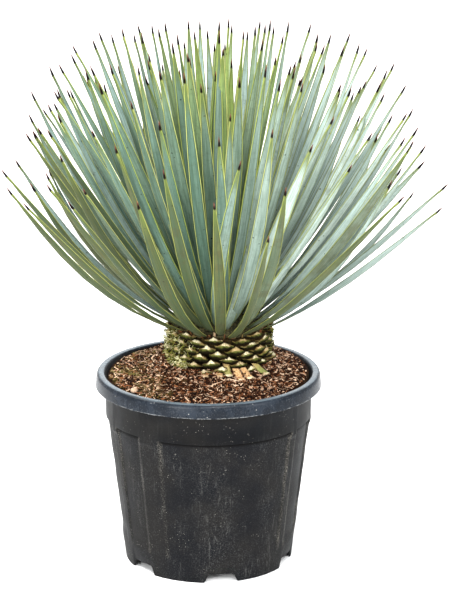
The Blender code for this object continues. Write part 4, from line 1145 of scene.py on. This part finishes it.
def leaf_rings():
    """Sections round each centre line, the first set back into the crown and the last drawn to a point."""
    path, side, under, width = leaf_paths(PATH_STATIONS)
    length = np.linalg.norm(np.diff(path, axis=1), axis=2).sum(1)
    back = (path[:, 1] - path[:, 0]) / np.linalg.norm(path[:, 1] - path[:, 0], axis=1, keepdims=True)
    share = LEAF_PICKS / (PATH_STATIONS - 1)
    centre = path[:, LEAF_PICKS]
    centre[:, 0] -= back * ROOT_SET_BACK * MM
    from_tip = (1 - share) * length[:, None]
    spine = SPINE_WIDTH * np.clip(from_tip / SPINE_LENGTH, 0.01, 1) ** 0.5
    width = width[:, LEAF_PICKS]
    width = np.where(from_tip < 2 * SPINE_LENGTH, np.maximum(width * (share < 0.99), spine), width)
    thick = LEAF_THICK * (1 - 0.6 * share)
    thick = np.minimum(thick + 0 * width, 0.72 * width)
    thick = np.where(from_tip < 1.2 * SPINE_LENGTH, 0.8 * width, thick)
    across = side[:, LEAF_PICKS, None] * (width[..., None] / 2 * SECTION_ACROSS)[..., None]
    down = under[:, LEAF_PICKS, None] * (thick[..., None] * SECTION_DEPTH)[..., None]
    rings = centre[:, :, None] + across + down
    flat = np.zeros(rings.shape[:3])
    number = np.arange(LEAF_COUNT)[:, None, None]
    edge = width[..., None] / 2 * (1 - np.abs(SECTION_ACROSS))
    tip = from_tip[..., None] + flat
    grain = np.stack([width[..., None] / 2 * SECTION_ACROSS + flat, -0.03 * tip, number * 0.37 + flat], -1)
    age = (number + 0.5) / LEAF_COUNT + flat
    values = {"edge": edge, "tip": tip, "face": SECTION_FACE + flat, "youth": age}
    values["grain"] = grain.reshape(-1, 3)
    rng = np.random.default_rng(74)
    values["tint"] = per_point(rings, rng.uniform(0, 1, LEAF_COUNT))
    values["shade"] = per_point(rings, rng.uniform(0, 1, LEAF_COUNT))
    u = age[:, 0, 0]
    # Painted light: leaves whose tips lie to the right are painted paler, the inner ones less so
    right_of_head = np.clip((path[:, -1, 0] + 20 * MM) / (200 * MM), 0, 1)
    values["painted_light_right"] = per_point(rings, right_of_head * (1 - 0.45 * u) * rng.uniform(0.7, 1, LEAF_COUNT))
    shady = np.clip((-path[:, -1, 0] - 20 * MM) / (200 * MM), 0, 1)
    values["misty"] = per_point(rings, shady)
    oldest = 0.19 + 0.30 * shady + rng.normal(0, 0.05, LEAF_COUNT)
    values["olive"] = per_point(rings, np.clip((oldest - u) / 0.10, 0, 1))
    print("leaves", LEAF_COUNT, "from", round(length.min() / MM), "to", round(length.max() / MM), "mm long")
    return rings, {key: value if key == "grain" else value.ravel() for key, value in values.items()}


# %% [markdown]
# ## The leaf's finish
# The upper face wears a blue-white bloom over green. The underside, which the outer leaves show,
# is greyer and more olive, most of all on the old leaves of the left. The other leaves of the left
# have a blue haze. The leaves on the right side are painted paler, with fewer dark marks, as painted
# light. Inner leaves are painted lighter underneath, partly their own paler colour and partly painted
# light against the shade deep in the head. The margin is a thin yellow line with a painted shade
# just inside it, the last centimetre and a half is a dark brown spine, and young leaves in the heart
# are still yellow-green, their own colour together with painted light shining through them. Fine
# veins run along the leaf, a thin cloudy dirt dulls it, brown stains lie on the older ones, and dark
# specks are scattered in patches.

# %% Leaf finish
leaf_finish, tree = new_finish("yucca_leaf")
edge, tip, face = own_value(tree, "edge"), own_value(tree, "tip"), own_value(tree, "face")
youth, tint, shade = own_value(tree, "youth"), own_value(tree, "tint"), own_value(tree, "shade")
painted_light_right, olive = own_value(tree, "painted_light_right"), own_value(tree, "olive")
grain = own_value(tree, "grain", "Vector")
place = on_object(tree)
veins = noise(tree, grain, 900.0, 2.0, 0.6)
bands = noise(tree, grain, 330.0, 2.0, 0.6)
broad = noise(tree, grain, 120.0, 2.0)
upper = blend(tree, tint, (0.230, 0.365, 0.325), (0.390, 0.510, 0.490))
upper = blend(tree, soft_step(tree, broad, 0.3, 0.7, 0.0, 0.55), upper, (0.46, 0.57, 0.53))
# Painted light: the upper faces of the right-hand leaves are painted paler
upper = blend(tree, painted_light_right, upper, (0.49, 0.575, 0.54))
old = blend(tree, tint, (0.041, 0.048, 0.010), (0.076, 0.082, 0.025))
old = blend(tree, soft_step(tree, broad, 0.35, 0.75, 0.0, 0.45), old, (0.122, 0.138, 0.072))
old = blend(tree, soft_step(tree, bands, 0.40, 0.58, 0.35, 0.0), old, (0.034, 0.036, 0.012))
grown = blend(tree, tint, (0.046, 0.106, 0.080), (0.098, 0.168, 0.128))
grown = blend(tree, times(tree, own_value(tree, "misty"), 0.75), grown, (0.21, 0.31, 0.245))
grown = blend(tree, soft_step(tree, broad, 0.35, 0.75, 0.0, 0.4), grown, (0.130, 0.195, 0.165))
# Painted light, partly real: inner leaves are lighter underneath, their own paler colour plus a lift against
# the shade deep in the head
grown = blend(tree, soft_step(tree, youth, 0.35, 0.80, 0.0, 0.6), grown, (0.185, 0.262, 0.185))
# Painted light: the undersides of the right-hand leaves are painted much paler
grown = blend(tree, times(tree, painted_light_right, 0.85), grown, (0.66, 0.76, 0.69))
lower = blend(tree, olive, grown, old)
stains = times(tree, soft_step(tree, noise(tree, place, 38.0, 4.0, 0.7), 0.46, 0.62),
               soft_step(tree, youth, 0.10, 0.40, 0.55, 0.0))
lower = blend(tree, stains, lower, (0.068, 0.052, 0.020))
colour = blend(tree, soft_step(tree, face, 0.42, 0.58), lower, upper)
# Yellow-green in the heart: the young leaves' own colour together with painted light shining through them
young_and_backlit = times(tree, soft_step(tree, youth, 0.80, 0.97), soft_step(tree, tint, 0.25, 0.65, 0.2, 0.9))
colour = blend(tree, young_and_backlit, colour, (0.30, 0.40, 0.070))
# Painted light: on the right the dark bands, dirt and random darkening are weakened
calm_under_painted_light = soft_step(tree, painted_light_right, 0.0, 0.8, 1.0, 0.55)
banded = times(tree, soft_step(tree, bands, 0.36, 0.62, 0.42, 0.0), calm_under_painted_light)
colour = blend(tree, banded, colour, (0.030, 0.062, 0.040))
colour = blend(tree, soft_step(tree, veins, 0.35, 0.7, 0.38, 0.0), colour, (0.035, 0.060, 0.035))
dirt = noise(tree, place, 130.0, 5.0, 0.75)
dirty = times(tree, soft_step(tree, dirt, 0.48, 0.66, 0.0, 0.28), calm_under_painted_light)
colour = blend(tree, dirty, colour, (0.052, 0.066, 0.040))
shaded = times(tree, soft_step(tree, shade, 0.0, 1.0, 0.22, 0.0), calm_under_painted_light)
colour = blend(tree, shaded, colour, (0.025, 0.045, 0.025))
colour = blend(tree, soft_step(tree, tip, 0.33, 0.40, 0.0, 0.45), colour, (0.12, 0.15, 0.07))
specks = times(tree, soft_step(tree, cells(tree, place, 90.0), 0.08, 0.15, 1.0, 0.0),
               soft_step(tree, noise(tree, place, 22.0, 2.0), 0.48, 0.60))
colour = blend(tree, times(tree, specks, 0.8), colour, (0.015, 0.015, 0.008))
# Painted shade: a dark line just inside the margin, like the shadow of a neighbouring leaf
colour = blend(tree, soft_step(tree, edge, 0.9 * MM, 2.2 * MM, 0.72, 0.0), colour, (0.018, 0.036, 0.010))
margin = soft_step(tree, edge, 0.50 * MM, 1.0 * MM, 1.0, 0.0)
rind = blend(tree, tint, (0.27, 0.32, 0.055), (0.42, 0.42, 0.15))
# Where the right-hand leaves are painted lighter, the margin is painted greener
rind = blend(tree, painted_light_right, rind, (0.24, 0.26, 0.065))
colour = blend(tree, margin, colour, blend(tree, olive, rind, (0.21, 0.215, 0.060)))
near_tip = soft_step(tree, tip, 0.016, 0.075, 0.60, 0.0)
colour = blend(tree, near_tip, colour, (0.115, 0.145, 0.035))
spine = soft_step(tree, plus(tree, tip, times(tree, tint, 0.004)), 0.0155, 0.0185, 1.0, 0.0)
colour = blend(tree, spine, colour, (0.004, 0.002, 0.0015))
colour = blend(tree, soft_step(tree, tip, 0.002, 0.010, 0.75, 0.0), colour, (0.16, 0.060, 0.040))
roughness = soft_step(tree, veins, 0.3, 0.7, 0.62, 0.48)
finish_shader(tree, colour, roughness, veins, 0.3 * MM, 0.04)
rings, leaf_values = leaf_rings()
margins = np.tile(SECTION_FACE == 0.5, LEAF_COUNT * len(LEAF_PICKS))
make_piece("leaf_blades", loft(rings), leaf_finish, leaf_values, ["leaf_rosette"], margins)


# %% [markdown]
# ## The heart of the crown
# Between the leaf roots is a low dome of packed leaf bases in deep shade, with brown, papery
# scraps of dead leaf caught round its edge.


# %% Crown dome
DOME_FOOT = 330 * MM


def dome_surface():
    """A turned parabola that falls from the middle by the square of the radius, closed underneath."""
    turn = np.linspace(0, 2 * np.pi, 97)[None, :-1]
    share = np.linspace(0.04, 1, 22)[:, None]
    radius = np.concatenate([68 * MM * share, [[66 * MM], [60 * MM]]]) + 0 * turn
    arch = CROWN_Z + 1 * MM + CROWN_DOME * (1 - share ** 2)
    heights = np.concatenate([arch, [[332 * MM], [DOME_FOOT]]]) + 0 * turn
    heights = heights + 1.2 * MM * value_noise(turn * 0.05 + 0 * radius, radius, 3 * MM, 15)
    x, y = TRUNK_CENTRE[0] + radius * np.cos(turn), TRUNK_CENTRE[1] + radius * np.sin(turn)
    top = (*TRUNK_CENTRE, CROWN_Z + CROWN_DOME + 1 * MM)
    return lathe(np.stack([x, y, heights], -1), top, (*TRUNK_CENTRE, DOME_FOOT))


crown_finish, tree = new_finish("crown_heart")
fine = noise(tree, on_object(tree), 350.0, 4.0, 0.7)
colour = blend(tree, soft_step(tree, fine, 0.4, 0.75), (0.012, 0.012, 0.005), (0.10, 0.085, 0.030))
finish_shader(tree, colour, soft_step(tree, fine, 0.3, 0.7, 0.95, 0.80), fine, 1.0 * MM, 0.2)
make_piece("crown_heart", dome_surface(), crown_finish)


# %% Dry scraps between the leaf roots
def crown_scraps(count, seed):
    """Short bent flakes that stand between the lowest leaf roots and lean outwards."""
    rng = np.random.default_rng(seed)
    turn = rng.uniform(0, 2 * np.pi, count)
    out = rng.uniform(62, 72, count) * MM
    long = rng.uniform(6, 15, count) * MM
    wide = rng.uniform(2.0, 5.5, count) * MM
    outward = np.stack([np.cos(turn), np.sin(turn), 0 * turn], -1)
    flat = np.stack([-np.sin(turn), np.cos(turn), 0 * turn], -1) + 0.4 * rng.normal(0, 1, (count, 3))
    flat = flat / np.linalg.norm(flat, axis=1, keepdims=True)
    lean = rng.uniform(0.3, 1.0, count)[:, None]
    rings = []
    base = outward * out[:, None] + np.array((*TRUNK_CENTRE, 0))
    base[:, 2] = rng.uniform(326, 337, count) * MM
    for s, share in ((0.0, 1.0), (0.4, 0.9), (0.75, 0.6), (1.0, 0.15)):
        rise = np.array((0, 0, 1.0)) * np.sqrt(1 - 0.7 * s) + outward * lean * s
        centre = base + rise * (long * s)[:, None]
        half = flat * (wide * share / 2)[:, None]
        thick = outward * 0.4 * MM
        rings.append(np.stack([centre - half, centre + thick, centre + half, centre - thick], 1))
    return np.stack(rings, 1), rng


SCRAP_COUNT = 190
scraps, rng = crown_scraps(SCRAP_COUNT, 81)
scrap_values = {"tone": per_point(scraps, rng.uniform(0.2, 0.95, SCRAP_COUNT)),
                "mossy": per_point(scraps, np.clip(rng.normal(0.1, 0.3, SCRAP_COUNT), 0, 0.8))}
make_piece("crown_scraps", loft(scraps), chip_finish, scrap_values)

# %% [markdown]
# ## The pebble
# One small cream stone lies near the left front of the rim. It is a ball pressed flat, with a few
# slow bumps, and speckled like sandstone.


# %% Pebble
LARGEST_SWELL = 1.04


def pebble_surface():
    """A ball whose radius swells by slow waves, flattened, placed in the middle of the solid pebble's box."""
    low, high = (np.array(corner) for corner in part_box("pebble"))
    middle, half = (low + high) / 2, (high - low) / 2
    polar = np.linspace(0, np.pi, 26)[1:-1, None]
    turn = np.linspace(0, 2 * np.pi, 41)[None, :-1]
    ring = np.sin(polar)
    ball = np.stack([ring * np.cos(turn), ring * np.sin(turn), np.cos(polar) + 0 * turn], -1)
    swell = 1 + 0.05 * np.sin(3.1 * ball[..., 0] + 2) + 0.04 * np.sin(4.3 * ball[..., 1] + 3 * ball[..., 2])
    points = ball * swell[..., None] * half / LARGEST_SWELL + middle
    pole = (0, 0, half[2] / LARGEST_SWELL)
    return lathe(points, middle + pole, middle - pole)


pebble_finish, tree = new_finish("pebble_stone")
fine = noise(tree, on_object(tree), 900.0, 4.0, 0.7)
colour = blend(tree, soft_step(tree, fine, 0.35, 0.7), (0.46, 0.325, 0.23), (0.33, 0.215, 0.135))
finish_shader(tree, colour, soft_step(tree, fine, 0.3, 0.7, 0.85, 0.70), fine, 0.2 * MM, 0.3)
make_piece("pebble_stone", pebble_surface(), pebble_finish, replaced=["pebble"])
